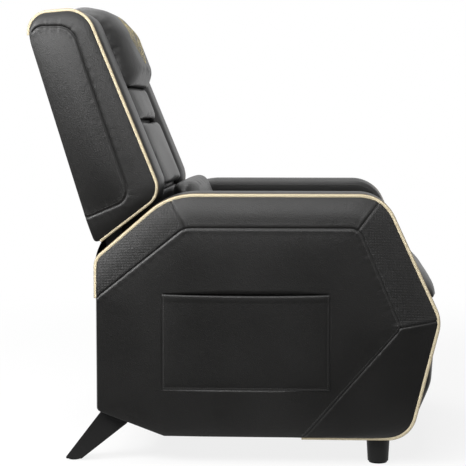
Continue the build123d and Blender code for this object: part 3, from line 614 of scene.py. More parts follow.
def coordinates(mesh):
    """A mesh's points as rows of x, y, z."""
    values = np.zeros(len(mesh.vertices) * 3, np.float32)
    mesh.vertices.foreach_get("co", values)
    return values.reshape(-1, 3).astype(float)


def normals_of(mesh):
    """Outward directions at a mesh's points."""
    values = np.zeros(len(mesh.vertices) * 3, np.float32)
    mesh.vertex_normals.foreach_get("vector", values)
    return values.reshape(-1, 3).astype(float)


SETTLE_REACH = 0.03
SETTLE_POINTS = 6


def settle(points, piece):
    """Move points onto a piece's surface along its outward direction, which is returned too; both
    come from the six nearest mesh points, weighted by closeness."""
    places, outward = coordinates(piece.data), normals_of(piece.data)
    low, high = points.min(axis=0) - SETTLE_REACH, points.max(axis=0) + SETTLE_REACH
    near = np.all((places > low) & (places < high), axis=1)
    places, outward = places[near], outward[near]
    gap = np.linalg.norm(points[:, None] - places, axis=2)
    nearest = np.argpartition(gap, SETTLE_POINTS, axis=1)[:, :SETTLE_POINTS]
    weight = 1 / (np.take_along_axis(gap, nearest, axis=1) + 1e-4)
    weight = (weight / weight.sum(axis=1)[:, None])[..., None]
    out = unit(np.sum(outward[nearest] * weight, axis=1))
    lift = np.sum((np.sum(places[nearest] * weight, axis=1) - points) * out, axis=1)
    return points + out * lift[:, None], out


STITCH_PITCH = 0.0048
STITCH_RINGS, STITCH_SIDES = 5, 6
STITCH_RADIUS = 0.00042
thread_black = speckled_material("thread_black", (0.045, 0.044, 0.043), 0.55, 0, 2600, 0.0001)


def stitches(
    name, paths, piece, body, material=thread_black, slot="cloth_black", radius=STITCH_RADIUS
):
    """Sewn stitches along paths on a piece: each is a short arched tube of five rings, whose
    middle stands proud of the leather and whose ends dip into it."""
    rows = [even_path(path, STITCH_PITCH) for path in paths]
    along = np.concatenate([np.gradient(row, axis=0) for row in rows])
    centre, out = settle(np.concatenate(rows), piece)
    along = unit(along - out * np.sum(along * out, axis=1)[:, None])
    across = np.cross(out, along)
    t = np.linspace(-1, 1, STITCH_RINGS)[:, None]
    angle = np.linspace(0, 2 * np.pi, STITCH_SIDES, endpoint=False)
    thick = radius * (1 - 0.5 * t**4)
    lengthwise = 0.39 * STITCH_PITCH * t + 0 * angle
    upwards = radius * (0.7 - 1.6 * t**2) + thick * np.cos(angle)
    sideways = thick * np.sin(angle)
    shape = zip((along, out, across), (lengthwise, upwards, sideways))
    points = sum(axis[:, None, None] * size[..., None] for axis, size in shape)
    points = centre[:, None, None] + points
    last = (STITCH_RINGS - 1) * STITCH_SIDES
    first_end = np.array([[3, 2, 1, 0], [5, 4, 3, 0]])
    last_end = last + np.array([[0, 1, 2, 3], [0, 3, 4, 5]])
    one = np.concatenate([grid_faces(STITCH_RINGS, STITCH_SIDES), first_end, last_end])
    steps = np.arange(len(centre))[:, None, None] * STITCH_RINGS * STITCH_SIDES
    row = add_mesh(name, points, (steps + one).reshape(-1, 4).tolist(), material)
    fit(row, body, slot)


SEWN_IN = 0.0038
SEWN_STEP = 0.004
arm_sewn = at_y(seam_path(moved_sides(ARM_SEAM, -SEWN_IN), (1, 2, 3, 4)), SIDE_MIDDLE_Y)
for name, side in SIDES:
    side_mesh = on_side(arm_side_points, side), arm_side_faces
    panel = add_mesh(f"arm_side_{name}", *side_mesh, leather_panel)
    panel.data.attributes.new("weave", "FLOAT", "POINT").data.foreach_set("value", woven)
    fit(panel, "base", "leather_panel", f"arm_side_pad_{name}", fill=0.7)
    stitches(f"arm_stitches_{name}", [on_side(arm_sewn, side)], panel, "base")

# Arm bands and inner covers: padded leather over the top, front and rear of each arm, rounded
# over the inner edge, then sewn to a flat cover that faces the sitter.
ARM_CROWN = np.array([0, 0.004, 0.003, 0.008, 0.006, 0.002, 0])
CROWN_Y = 0.316
CROWN_REACH = 0.042
INNER_Y = 0.2685
INNER_ROUND = 0.012
INNER_SEAM = ((0.020, 0), (0.026, 0.0003), (0.0285, 0.001), (0.030, 0.0022), (0.0315, 0.001))
COVER_INSET = 0.034
COVER_CROWN = 0.0004
BAND_EDGE_Y = 0.3575
BAND_EDGE_TUCK = 0.004
BAND_Y = 0.356


def band_ring(shifts, y):
    """Ring of the arm's outline at Y, with its sides moved outwards by shifts."""
    return at_y(ring(moved_sides(ARM_OUTLINE, shifts)), y)


def band_crown(y):
    """How far each side of the band swells at Y: a parabola across the arm."""
    return ARM_CROWN * (1 - ((y - CROWN_Y) / CROWN_REACH) ** 2)


band_rows = [band_ring(-BAND_EDGE_TUCK, BAND_EDGE_Y)]
for y in np.linspace(BAND_Y, INNER_Y + INNER_ROUND, 22):
    band_rows.append(band_ring(band_crown(y), y))
for turn in np.radians(np.linspace(12, 90, 9)):
    inset = band_crown(INNER_Y + INNER_ROUND) - INNER_ROUND * (1 - np.cos(turn))
    band_rows.append(band_ring(inset, INNER_Y + INNER_ROUND * (1 - np.sin(turn))))
for inset, y in INNER_SEAM:
    band_rows.append(band_ring(-inset, INNER_Y + y))
cover_ring = ring(moved_sides(ARM_OUTLINE, -COVER_INSET))
for v in (0, 0.04, 0.1, 0.2, 0.4, 0.7):
    inside = cover_ring + (POCKET_MIDDLE - cover_ring) * v
    band_rows.append(at_y(inside, INNER_Y + COVER_CROWN * (1 - v**0.5)))
band_points, band_faces = capped(np.stack(band_rows), at_y(POCKET_MIDDLE[None], INNER_Y))
for name, side in SIDES:
    band = add_mesh(f"arm_band_{name}", on_side(band_points, side), band_faces, leather_black)
    fit(band, "base", "leather_black", f"arm_top_pad_{name}", f"arm_inner_cover_{name}", fill=0.7)

# Piping: a gold corded welt sewn into the outer edge of each arm and of the back; a tube with
# a twisted-cord relief.
PIPING_RADIUS = 0.0047
ARM_PIPING_Y = 0.360
TUBE_SIDES = 14


def cord_material(name, edge, dark, light):
    """Corded trim: slanting ribs from the tube's own length and angle shade and raise it, and
    a painted shade, the edge colour, darkens it towards the tube's two sides that face along
    the outline rather than out of the chair's side, where the tube turns away from a side view."""
    material = new_material(name, light, 0.42, 0.15)
    tree = material.node_tree
    place = add_node(tree, "UVMap", {}).outputs["UV"]
    ribs = {"Vector": place, "Scale": 1.0, "Distortion": 0.6}
    ribs = add_node(tree, "TexWave", ribs, bands_direction="DIAGONAL").outputs["Fac"]
    # Painted shade: the edge colour takes over where the tube faces along the outline, not out of
    # the chair's side.
    angle = add_node(tree, "SeparateXYZ", {"Vector": place}).outputs["Y"]
    height = add_node(tree, "Math", {0: angle}, operation="SINE").outputs[0]
    size = add_node(tree, "Math", {0: height}, operation="ABSOLUTE").outputs[0]
    clear_of_edge_shade = {"Value": size, "From Min": 0.35, "From Max": 0.80}
    clear_of_edge_shade = add_node(tree, "MapRange", clear_of_edge_shade, interpolation_type="SMOOTHSTEP").outputs["Result"]
    tones = two_tones(tree, ribs, (*dark, 1), (*light, 1))
    join(tree, two_tones(tree, clear_of_edge_shade, (*edge, 1), tones), "Base Color")
    add_bump(tree, ribs, 0.0005)
    return material


# The first tone is a painted shade, the dark brown of the tube's shaded sides; then the cord's dark
# and light tones.
GOLD_EDGE_SHADE_AND_TONES = (0.16, 0.10, 0.03), (0.52, 0.42, 0.24), (0.84, 0.76, 0.57)
piping_gold = cord_material("piping_gold", *GOLD_EDGE_SHADE_AND_TONES)
RIBS_PER_METRE = 420.0
TUBE_STEP = 0.004


def closed_rings(name, rows, material, ends=None):
    """Closed mesh through a row of rings, with a point at each end, which lies in the middle of
    the end ring unless it is given."""
    columns = rows.shape[1]
    count = rows.shape[0] * columns
    if ends is None:
        ends = rows[[0, -1]].mean(axis=1)
    faces = grid_faces(len(rows), columns) + fan(0, columns, count)
    faces += fan(count - columns, columns, count + 1)
    return add_mesh(name, np.concatenate([rows.reshape(-1, 3), ends]), faces, material)


def piping(name, path, y, side):
    """Tube along a path in the side view at Y, closed at both ends, with its length and angle
    as texture coordinates."""
    path = even_path(path, TUBE_STEP)
    along = unit(np.gradient(path, axis=0))
    out = at_y(np.stack([along[:, 1], -along[:, 0]], axis=1), 0)
    centre = at_y(path, y)
    angle = np.linspace(0, 2 * np.pi, TUBE_SIDES, endpoint=False)[None, :, None]
    spokes = np.cos(angle) * out[:, None] + np.sin(angle) * (0, 1, 0)
    tube = (centre[:, None] + PIPING_RADIUS * spokes) * (1, side, 1)
    piece = closed_rings(name, tube, piping_gold, on_side(centre[[0, -1]], side))
    reach = lengths_along(path)
    length = np.append(np.repeat(reach, TUBE_SIDES), [0, reach[-1]]) * RIBS_PER_METRE
    turn = np.append(np.tile(angle.ravel(), len(path)), [0, 0])
    corners = np.zeros(len(piece.data.loops), np.int32)
    piece.data.loops.foreach_get("vertex_index", corners)
    places = np.stack([length[corners], turn[corners]], axis=1).ravel()
    layer = piece.data.uv_layers.new(name="UVMap")
    layer.data.foreach_set("uv", places.astype(np.float32))
    return piece


def cut_path(path, first, last):
    """Part of a closed path between the points nearest to first and last, going forwards."""
    start = np.argmin(np.linalg.norm(path - first, axis=1))
    rolled = np.roll(path, -start, axis=0)
    end = np.argmin(np.linalg.norm(rolled - last, axis=1))
    return rolled[: end + 1]


def loop(outline):
    """Closed path round a rounded outline."""
    shares = np.linspace(0, 1, 80)[:-1]
    return np.concatenate([side_points(outline, k, shares) for k in range(len(outline))])


arm_piping_path = cut_path(loop(ARM_OUTLINE), *side_view((0.147, 0.050), (-0.310, 0.358)))
for name, side in SIDES:
    welt = piping(f"arm_piping_gold_{name}", arm_piping_path, ARM_PIPING_Y, side)
    fit(welt, "base", "piping_gold", f"arm_piping_{name}")

# Side pockets: a thin leather panel sewn to each arm side along three edges, with a hemmed
# mouth that sags a little and stands off the side.
POCKET_LOW, POCKET_HIGH = side_view((-0.161, 0.159), (0.206, 0.3695))
POCKET_COLUMNS, POCKET_ROWS = 90, 56
POCKET_SPAN = (0.367, 0.208)
POCKET_SAG = 0.003
POCKET_PUFF, POCKET_EDGE = 0.0022, 0.012
MOUTH_PUFF = 0.001
HEM_HEIGHT, HEM_HALF = 0.0008, 0.006
POCKET_LIFT = 0.0006
POCKET_LEATHER = 0.0016
a = np.linspace(0, 1, POCKET_COLUMNS)[None, :]
b = np.linspace(0, 1, POCKET_ROWS)[:, None]
sag = POCKET_SAG * np.sin(np.pi * a) ** 0.8 * b**4
pocket_x = POCKET_LOW[0] + (POCKET_HIGH - POCKET_LOW)[0] * a + 0 * b
pocket_z = POCKET_LOW[1] + (POCKET_HIGH - POCKET_LOW)[1] * b - sag
edge_gap = np.minimum(np.minimum(a, 1 - a) * POCKET_SPAN[0], b * POCKET_SPAN[1])
puff = POCKET_PUFF * (1 - np.exp(-edge_gap / POCKET_EDGE)) + MOUTH_PUFF * np.sin(np.pi * a) * b**3
hem = HEM_HEIGHT * (np.abs((1 - b) * POCKET_SPAN[1] - HEM_HALF) < HEM_HALF)
stitch_dip = -HEM_HEIGHT * np.exp(-(((edge_gap - 0.004) / 0.0012) ** 2))
pocket_y = SIDE_MIDDLE_Y + POCKET_LIFT + puff + hem + stitch_dip
pocket_points = np.stack([pocket_x, pocket_y, pocket_z], axis=-1)
pocket_faces = grid_faces(POCKET_ROWS, POCKET_COLUMNS, closed=False)
left, low = POCKET_LOW + SEWN_IN
right, high = POCKET_HIGH - SEWN_IN
pocket_sewn = np.array([(left, high), (left, low), (right, low), (right, high)])
pocket_sewn = at_y(pocket_sewn, SIDE_MIDDLE_Y)
for name, side in SIDES:
    pocket = add_mesh(f"pocket_{name}", on_side(pocket_points, side), pocket_faces, leather_black)
    thickness = pocket.modifiers.new("thickness", "SOLIDIFY")
    thickness.thickness = POCKET_LEATHER
    thickness.offset = -1
    fit(pocket, "base", "leather_black", f"side_pocket_{name}")
    stitches(f"pocket_stitches_{name}", [on_side(pocket_sewn, side)], pocket, "base")

# Backrest shell: leather drawn over the core's rear, top and lower edges, sewn to the gold
# piping at both sides; its front lies behind the pads.
BACK_OUTLINE = side_view(
    (-0.322, 0.4685, 0.010),
    (-0.172, 0.583, 0.046),
    (-0.341, 0.997, 0.060),
    (-0.481, 0.9845, 0.045),
)
BACK_SEAM = side_view(
    (-0.340, 0.529, 0.008),
    (-0.238, 0.572, 0.035),
    (-0.368, 0.958, 0.045),
    (-0.472, 0.957, 0.030),
)
BACK_HALF = 0.2950
BACK_MIDDLE = side_view((-0.345, 0.76))[0]
SHELL_CROWN = np.array([0.001, -0.0215, 0.002, 0.002])
SHELL_EDGE_TUCK = 0.004
SHELL_SPANS = ((-1, -0.94, 5), (-0.9, 0.9, 31), (0.94, 1, 5))
shell_places = np.concatenate([np.linspace(*span) for span in SHELL_SPANS])
shell_rows = []
for t in shell_places:
    shift = SHELL_CROWN * (1 - t**4) - SHELL_EDGE_TUCK * np.abs(t) ** 40
    shell_rows.append(at_y(ring(moved_sides(BACK_OUTLINE, shift)), BACK_HALF * t))
shell_ends = np.array([[BACK_MIDDLE[0], y, BACK_MIDDLE[1]] for y in (-BACK_HALF, BACK_HALF)])
back_shell = closed_rings("back_shell", np.stack(shell_rows), leather_black, shell_ends)
fit(back_shell, "backrest", "leather_black", "back_core", "back_rear_cover", fill=0.7)

# Side panels of the back: padded leather inside the piping, with a sewn seam that follows the
# edge and a softly swollen middle.


def dome(points, outline, softness):
    """Share of the full height inside an outline: the product over its sides of one minus e to
    the power of minus distance over softness."""
    along = np.roll(outline[:, :2], -1, axis=0) - outline[:, :2]
    along = along / np.hypot(*along.T)[:, None]
    inward = np.stack([-along[:, 1], along[:, 0]], axis=1)
    gap = np.sum((points[:, None] - outline[:, :2]) * inward, axis=2)
    return np.prod(1 - np.exp(-np.maximum(gap, 0) / softness), axis=1)


BACK_EDGE_Y, BACK_SEAM_Y, BACK_MIDDLE_Y = 0.3020, 0.3100, 0.3220
BACK_EDGE_TUCK = 0.0015
BACK_STRIP_BULGE = 0.002
BACK_SOFTNESS = 0.08
BACK_SEAM_SHARE = 0.03
BACK_PIPING_Y = 0.2982
back_outer = ring(moved_sides(BACK_OUTLINE, -BACK_EDGE_TUCK))
back_seam = ring(BACK_SEAM)
back_rows = []
for v in STRIP_ROWS:
    y = BACK_EDGE_Y + (BACK_SEAM_Y - BACK_EDGE_Y) * v**0.7 + BACK_STRIP_BULGE * np.sin(np.pi * v)
    back_rows.append(at_y(back_outer + (back_seam - back_outer) * v, y))
back_top = dome(BACK_MIDDLE[None], BACK_SEAM, BACK_SOFTNESS)
for v in (*FIELD_ROWS[:-1], 0.97):
    inside = back_seam + (BACK_MIDDLE - back_seam) * v
    height = dome(inside, BACK_SEAM, BACK_SOFTNESS) / back_top * (1 - np.exp(-v / BACK_SEAM_SHARE))
    back_rows.append(at_y(inside, BACK_SEAM_Y + (BACK_MIDDLE_Y - BACK_SEAM_Y) * height))
back_rows = relief(np.stack(back_rows), [seam_path(BACK_SEAM, (0, 1, 2))])
back_points, back_faces = capped(back_rows, at_y(BACK_MIDDLE[None], BACK_MIDDLE_Y))
back_sewn = at_y(seam_path(moved_sides(BACK_SEAM, -SEWN_IN), (0, 1, 2)), BACK_MIDDLE_Y)
back_loop = loop(BACK_OUTLINE)
back_piping_path = cut_path(back_loop, *side_view((-0.310, 0.478), (-0.466, 0.936)))
for name, side in SIDES:
    panel = add_mesh(f"back_side_{name}", on_side(back_points, side), back_faces, leather_black)
    fit(panel, "backrest", "leather_black", f"back_side_pad_{name}", fill=0.7)
    stitches(f"back_stitches_{name}", [on_side(back_sewn, side)], panel, "backrest")
    welt = piping(f"back_piping_gold_{name}", back_piping_path, BACK_PIPING_Y, side)
    fit(welt, "backrest", "piping_gold", f"back_piping_{name}")

# Cushions: foam inside leather. Each starts as rings of its side profile, drawn in towards its
# ends, is rebuilt as an even net, and swells as cloth under pressure from the foam.


def cushion_rows(profile, half, inset, rounding, rows=41, power=6, crown=0.0):
    """Rings of a side profile at places across the chair: the profile swells by crown towards
    the middle and shrinks by inset towards both ends, fast over the rounded edge."""
    t = np.sin(np.linspace(-1, 1, rows) * np.pi / 2)
    shrink = 1 - (1 - np.abs(t) ** power * 0.9999) ** (1 / rounding)
    return np.stack([
        at_y(ring(moved_sides(profile, crown * (1 - place**2) - inset * less)), half * place)
        for less, place in zip(shrink, t)
    ])


def set_coordinates(mesh, points):
    """Put a mesh's points at rows of x, y, z."""
    mesh.vertices.foreach_set("co", points.astype(np.float32).ravel())
    mesh.update()


def apply_modifiers(piece):
    """Keep the shape that a piece's modifiers give it, and take the modifiers off."""
    graph = bpy.context.evaluated_depsgraph_get()
    shaped = bpy.data.meshes.new_from_object(piece.evaluated_get(graph))
    piece.modifiers.clear()
    piece.data = shaped
    shaped.shade_smooth()


SWELL_STEPS = 20
LEATHER_CLOTH = {
    "quality": 5,
    "mass": 0.3,
    "tension_stiffness": 20,
    "compression_stiffness": 20,
    "bending_stiffness": 1.5,
    "use_pressure": True,
}


def swell(piece, net, pressure, cap):
    """Rebuild a closed piece as an even net, let it swell as cloth under pressure, and hold each
    point within cap of where it started."""
    rebuilt = piece.modifiers.new("net", "REMESH")
    rebuilt.mode = "VOXEL"
    rebuilt.voxel_size = net
    apply_modifiers(piece)
    start = coordinates(piece.data)
    cloth = piece.modifiers.new("cloth", "CLOTH")
    for name, value in LEATHER_CLOTH.items():
        setattr(cloth.settings, name, value)
    cloth.settings.uniform_pressure_force = pressure
    cloth.settings.effector_weights.gravity = 0
    cloth.point_cache.frame_start = 1
    cloth.point_cache.frame_end = SWELL_STEPS
    for step in range(1, SWELL_STEPS + 1):
        scene.frame_set(step)
    graph = bpy.context.evaluated_depsgraph_get()
    swollen = coordinates(piece.evaluated_get(graph).data)
    scene.frame_set(1)
    piece.modifiers.clear()
    move = swollen - start
    size = np.linalg.norm(move, axis=1)[:, None]
    set_coordinates(piece.data, start + move * np.minimum(1, cap / np.maximum(size, 1e-9)))
    finer = piece.modifiers.new("finer", "SUBSURF")
    finer.levels = finer.render_levels = 1
    apply_modifiers(piece)


def cushion(name, rows, net, pressure, cap, body, node, fill):
    """Leather cushion through rings, swollen, that rides on a body and replaces a CAD node."""
    piece = closed_rings(name, rows, leather_black)
    swell(piece, net, pressure, cap)
    fit(piece, body, "leather_black", node, fill=fill)
    return piece


SEAT_PROFILE = side_view(
    (-0.185, 0.352, 0.012),
    (0.392, 0.352, 0.015),
    (0.455, 0.340, 0.010),
    (0.450, 0.366, 0.030),
    (0.362, 0.457, 0.060),
    (-0.185, 0.440, 0.030),
)
SEAT_INSET = np.array([0.012, 0, 0.010, 0.018, 0.020, 0])
SEAT_CROWN = np.array([0, 0, 0.003, 0.004, 0.004, 0])
SEAT_HALF = 0.261
seat_rows = cushion_rows(SEAT_PROFILE, SEAT_HALF, SEAT_INSET, 2.2, crown=SEAT_CROWN)
cushion("seat", seat_rows, 0.0066, 4, 0.006, "base", "seat_cushion", 0.75)

# Front of the back: a bolster down each side and two crowned channel pads between them, foam
# under leather, sewn to each other and fixed to the core.
front_low, front_high = BACK_OUTLINE[1, :2], BACK_OUTLINE[2, :2]
front_up = (front_high - front_low) / np.hypot(*(front_high - front_low))
front_out = np.array([front_up[1], -front_up[0]])
BOLSTER_LIMITS = (0.1745, 0.2955)
BOLSTER_CROWN = 0.006
BOLSTER_EDGE, BOLSTER_END = 0.006, 0.003
BOLSTER_LAP = 0.12
BOLSTER_POINTS, BOLSTER_STEP = 25, 0.006
PAD_BACK = -0.021
bolster_run = cut_path(back_loop, *side_view((-0.262, 0.5155), (-0.400, 0.992)))
bolster_run = even_path(bolster_run, BOLSTER_STEP)
bolster_along = unit(np.gradient(bolster_run, axis=0))
bolster_out = np.stack([bolster_along[:, 1], -bolster_along[:, 0]], axis=1)
lap = np.linspace(0, 1, len(bolster_run))
fullness = np.clip(np.minimum(lap, 1 - lap) / BOLSTER_LAP, 0, 1) ** 0.7
cross = np.linspace(-1, 1, BOLSTER_POINTS)
crown_share = (1 - np.abs(cross) ** 3.2) ** 0.6
cross_y = BOLSTER_LIMITS[0] + (BOLSTER_LIMITS[1] - BOLSTER_LIMITS[0]) * (cross + 1) / 2
cross_y = np.concatenate([cross_y, cross_y[::-1]])
bolster_top = -BOLSTER_EDGE + (BOLSTER_EDGE + BOLSTER_CROWN) * crown_share
bolster_top = -BOLSTER_END + (bolster_top + BOLSTER_END) * fullness[:, None]
bolster_height = np.concatenate([bolster_top, np.full_like(bolster_top, PAD_BACK)], axis=1)
bolster_rows = np.stack([
    bolster_run[:, None, 0] + bolster_out[:, None, 0] * bolster_height,
    np.broadcast_to(cross_y, bolster_height.shape),
    bolster_run[:, None, 1] + bolster_out[:, None, 1] * bolster_height,
], axis=-1)
for name, side in SIDES:
    rows, node = bolster_rows * (1, side, 1), f"back_bolster_{name}"
    cushion(f"bolster_{name}", rows, 0.005, 3, 0.004, "backrest", node, 0.75)

PAD_HALF = 0.173
PAD_CROWN = 0.007
PAD_EDGE = 0.002
PAD_SEWN_IN = 0.009
PAD_STEEPNESS = 120
PAD_COLUMNS, PAD_ROWS = 61, 41


def channel_pad(name, low, high):
    """Crowned pad on the front of the back: thickness falls off towards all four edges along a
    steep rounded curve; its back is flat."""
    a = np.linspace(-1, 1, PAD_COLUMNS)[None, :]
    b = np.linspace(-1, 1, PAD_ROWS)[:, None]
    loft = ((1 - np.abs(a) ** 8) * (1 - np.abs(b) ** (PAD_STEEPNESS * (high - low)))) ** 0.5
    crown = PAD_CROWN * (1 - 0.45 * a**2)
    height = PAD_BACK + PAD_EDGE + (crown - PAD_BACK - PAD_EDGE) * loft
    y = PAD_HALF * a + 0 * b
    points = []
    for out in (height, np.full_like(height, PAD_BACK)):
        up = (low + high) / 2 + (high - low) / 2 * b - out * front_out[1] / front_up[1]
        surface = front_low + front_up * up[..., None] + front_out * out[..., None]
        points.append(np.stack([surface[..., 0], y, surface[..., 1]], axis=-1))
    count = PAD_ROWS * PAD_COLUMNS
    grid = np.arange(count).reshape(PAD_ROWS, PAD_COLUMNS)
    rim = np.concatenate([grid[0], grid[1:, -1], grid[-1, -2::-1], grid[-2:0:-1, 0]])
    turned = np.roll(rim, -1)
    faces = grid_faces(PAD_ROWS, PAD_COLUMNS, closed=False)
    faces += grid_faces(PAD_ROWS, PAD_COLUMNS, closed=False, start=count)
    faces += np.stack([rim, turned, turned + count, rim + count], axis=1).tolist()
    return add_mesh(name, np.concatenate(points), faces, leather_black)


for name, low, high in (("lower", 0.008, 0.1745), ("upper", 0.1755, 0.262)):
    pad = channel_pad(f"channel_pad_{name}", low, high)
    swell(pad, 0.005, 3, 0.004)
    fit(pad, "backrest", "leather_black", f"back_pad_{name}", fill=0.8)
    edge = PAD_HALF - PAD_SEWN_IN
    low, high = low + PAD_SEWN_IN, high - PAD_SEWN_IN
    corners = np.array([(-edge, low), (edge, low), (edge, high), (-edge, high), (-edge, low)])
    border = front_low + front_up * corners[:, 1:]
    sewn = np.stack([border[:, 0], corners[:, 0], border[:, 1]], axis=1)
    stitches(f"channel_stitches_{name}", [even_path(sewn, SEWN_STEP)], pad, "backrest")

# Headrest: a pillow sewn over the top edge of the back. It falls away to the bolsters at both
# ends, where its leather is gathered into the seam.
HEADREST_PROFILE = side_view(
    (-0.318, 0.829, 0.006),
    (-0.248, 0.826, 0.014),
    (-0.239, 0.862, 0.030),
    (-0.276, 0.956, 0.070),
    (-0.321, 1.004, 0.060),
    (-0.397, 1.018, 0.018),
    (-0.422, 0.988, 0.006),
    (-0.410, 0.950, 0.006),
)
HEADREST_HALF = 0.168
GATHER_WIDTH = 0.07
GATHER_DEPTH = 0.035
HEADREST_SUNK = 0.012
headrest_ring = ring(HEADREST_PROFILE)
back_front = seam_path(moved_sides(BACK_OUTLINE, -HEADREST_SUNK), (1, 2))
headrest_seat, headrest_along = nearest_on(headrest_ring, back_front)
gathers = np.sin(headrest_along * 330) + 0.7 * np.sin(headrest_along * 195 + 1.1)
headrest_rows = []
for t in np.sin(np.linspace(-1, 1, 61) * np.pi / 2):
    full = (1 - 0.9999 * np.abs(t) ** 4.5) ** 0.5
    drawn = np.exp(-(((1 - abs(t)) / GATHER_WIDTH) ** 2))
    share = full * (1 + GATHER_DEPTH * drawn * gathers)[:, None]
    row = headrest_seat + (headrest_ring - headrest_seat) * share
    headrest_rows.append(at_y(row, HEADREST_HALF * t))
headrest_rows = np.stack(headrest_rows)
headrest = cushion("headrest_pillow", headrest_rows, 0.004, 4, 0.004, "backrest", "headrest", 0.8)
thread_gold = speckled_material("thread_gold", (0.62, 0.50, 0.20), 0.4, 0.2, 2600, 0.0001)
QUILT_MIDDLE = 0.088
QUILT_SIZES = ((0.078, 0.066), (0.052, 0.044), (0.026, 0.022))
QUILT_STEP = 0.002
QUILT_RADIUS = 0.0008
headrest_front = even_path(seam_path(HEADREST_PROFILE, (2, 3)), QUILT_STEP)
steps = np.arange(len(headrest_front))
diamond = np.array([(-1, 0), (0, 1), (1, 0), (0, -1), (-1, 0)], float)
quilt = []
for size in QUILT_SIZES:
    flat = even_path(diamond * size, SEWN_STEP)
    place = np.clip((QUILT_MIDDLE + flat[:, 1]) / QUILT_STEP, 0, steps[-1])
    x, z = (np.interp(place, steps, values) for values in headrest_front.T)
    quilt.append(np.stack([x, flat[:, 0], z], axis=1))
gold = thread_gold, "piping_gold", QUILT_RADIUS
stitches("headrest_quilting", quilt, headrest, "backrest", *gold)

# Skirt that closes the gap between back and seat, and the lumbar pillow in front of it: foam
# in leather covers, the skirt sewn to the back's lower edge and the pillow fastened to the back.
SKIRT_PROFILE = side_view(
    (-0.285, 0.435, 0.012),
    (-0.197, 0.435, 0.020),
    (-0.186, 0.590, 0.004),
    (-0.300, 0.500, 0.004),
)
skirt_rows = cushion_rows(SKIRT_PROFILE, 0.250, 0.010, 2.0)
cushion("skirt", skirt_rows, 0.006, 2, 0.002, "backrest", "back_skirt", 0.5)
LUMBAR_PROFILE = side_view(
    (-0.148, 0.456, 0.022),
    (-0.098, 0.458, 0.024),
    (-0.079, 0.530, 0.040),
    (-0.114, 0.615, 0.022),
    (-0.162, 0.602, 0.016),
)
lumbar_rows = cushion_rows(LUMBAR_PROFILE, 0.198, 0.026, 2.0)
cushion("lumbar", lumbar_rows, 0.005, 4, 0.004, "backrest", "lumbar_pillow", 0.7)

# Footrest pad: foam on the footrest board, under leather that is drawn round its edges and
# stapled to the board's back.
FOOTREST_TILT = math.radians(4)
FOOTREST_HINGE = side_view((0.330, 0.300))[0]
FOOTREST_LOW, FOOTREST_HIGH = -0.236, 0.014
FOOTREST_BACK, FOOTREST_FRONT = 0.0685, 0.1155
FOOTREST_TAPER = 0.095
FOOTREST_CROWN = np.array([0, 0.002, 0.003, 0, 0])
FOOTREST_INSET = np.array([0.010, 0.006, 0.007, 0.012, 0])
board_up = np.array([math.sin(FOOTREST_TILT), math.cos(FOOTREST_TILT)])
board_out = np.array([math.cos(FOOTREST_TILT), -math.sin(FOOTREST_TILT)])
footrest_depth = FOOTREST_FRONT - FOOTREST_BACK


def on_footrest(along, forward, radius):
    """Corner of the footrest's side profile: up the board from its hinge, and out from it."""
    return (*(FOOTREST_HINGE + board_up * along + board_out * forward), radius)


FOOTREST_PROFILE = np.array([
    on_footrest(FOOTREST_LOW, FOOTREST_BACK, 0.002),
    on_footrest(FOOTREST_LOW + 0.002, FOOTREST_BACK + 0.35 * footrest_depth, 0.2 * footrest_depth),
    on_footrest(FOOTREST_LOW + FOOTREST_TAPER, FOOTREST_FRONT, 0.080),
    on_footrest(FOOTREST_HIGH - 0.002, FOOTREST_FRONT, 0.55 * footrest_depth),
    on_footrest(FOOTREST_HIGH, FOOTREST_BACK, 0.008),
])
FOOTREST_HALF = 0.257
footrest_rows = cushion_rows(
    FOOTREST_PROFILE, FOOTREST_HALF, FOOTREST_INSET, 2.2, crown=FOOTREST_CROWN
)
cushion("footrest_cushion", footrest_rows, 0.006, 4, 0.004, "footrest", "footrest_pad", 0.75)

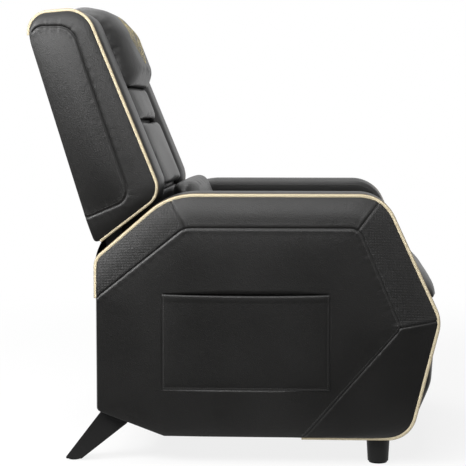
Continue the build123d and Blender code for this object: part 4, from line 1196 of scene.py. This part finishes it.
# Rear of the base: a leather-covered panel, a loose cloth gusset that lets the back swing, and
# a cloth dust cover stapled under the frame.
REAR_HALF = 0.268
REAR_PROFILE = side_view(
    (-0.306, 0.108, 0.003),
    (-0.298, 0.108, 0.003),
    (-0.298, 0.370, 0.003),
    (-0.306, 0.370, 0.003),
)
rear_rows = cushion_rows(REAR_PROFILE, REAR_HALF, 0.0005, 2.0)
rear_panel = closed_rings("rear_panel_leather", rear_rows, leather_black)
fit(rear_panel, "base", "leather_black", "rear_panel")
cloth_black = speckled_material("cloth_black", (0.012, 0.012, 0.013), 0.85, 0, 1500, 0.0004)
GUSSET_HALF = 0.266
GUSSET_LOW, GUSSET_HIGH = side_view((-0.3035, 0.3715), (-0.3115, 0.4745))
GUSSET_SLACK, GUSSET_RIPPLE = 0.018, 0.0012
GUSSET_ROWS, GUSSET_COLUMNS = 25, 161
t = np.linspace(0, 1, GUSSET_ROWS)[:, None]
s = np.linspace(-1, 1, GUSSET_COLUMNS)[None, :]
ripple = np.sin(s * 23) + 0.7 * np.sin(s * 41 + 0.8)
gusset_way = GUSSET_HIGH - GUSSET_LOW
slack = np.sin(np.pi * t) * (GUSSET_SLACK + GUSSET_RIPPLE * ripple)
gusset_points = np.stack([
    GUSSET_LOW[0] + gusset_way[0] * t - slack,
    GUSSET_HALF * s + 0 * t,
    GUSSET_LOW[1] + gusset_way[1] * t + 0 * s,
], axis=-1)
gusset_faces = grid_faces(GUSSET_ROWS, GUSSET_COLUMNS, closed=False)
gusset = add_mesh("gusset", gusset_points, gusset_faces, cloth_black)
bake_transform(gusset)
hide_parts("rear_gusset")
DUST_LOW, DUST_HIGH = side_view((-0.266, 0.060), (0.190, 0.060))
DUST_POINTS = 41
DUST_SAG = 0.004
u = np.linspace(0, 1, DUST_POINTS)[:, None]
v = np.linspace(-1, 1, DUST_POINTS)[None, :]
dust_points = np.stack([
    DUST_LOW[0] + (DUST_HIGH - DUST_LOW)[0] * u + 0 * v,
    REAR_HALF * v + 0 * u,
    DUST_LOW[1] - DUST_SAG * np.sin(np.pi * u) * (1 - v**2),
], axis=-1)
dust_faces = grid_faces(DUST_POINTS, DUST_POINTS, closed=False)
dust = add_mesh("dust_cloth", dust_points, dust_faces, cloth_black)
fit(dust, "base", "cloth_black", "dust_cover")

# Size of the chair as shown: the bounds of all shown pieces, with the floor and card left out.
low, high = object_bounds()
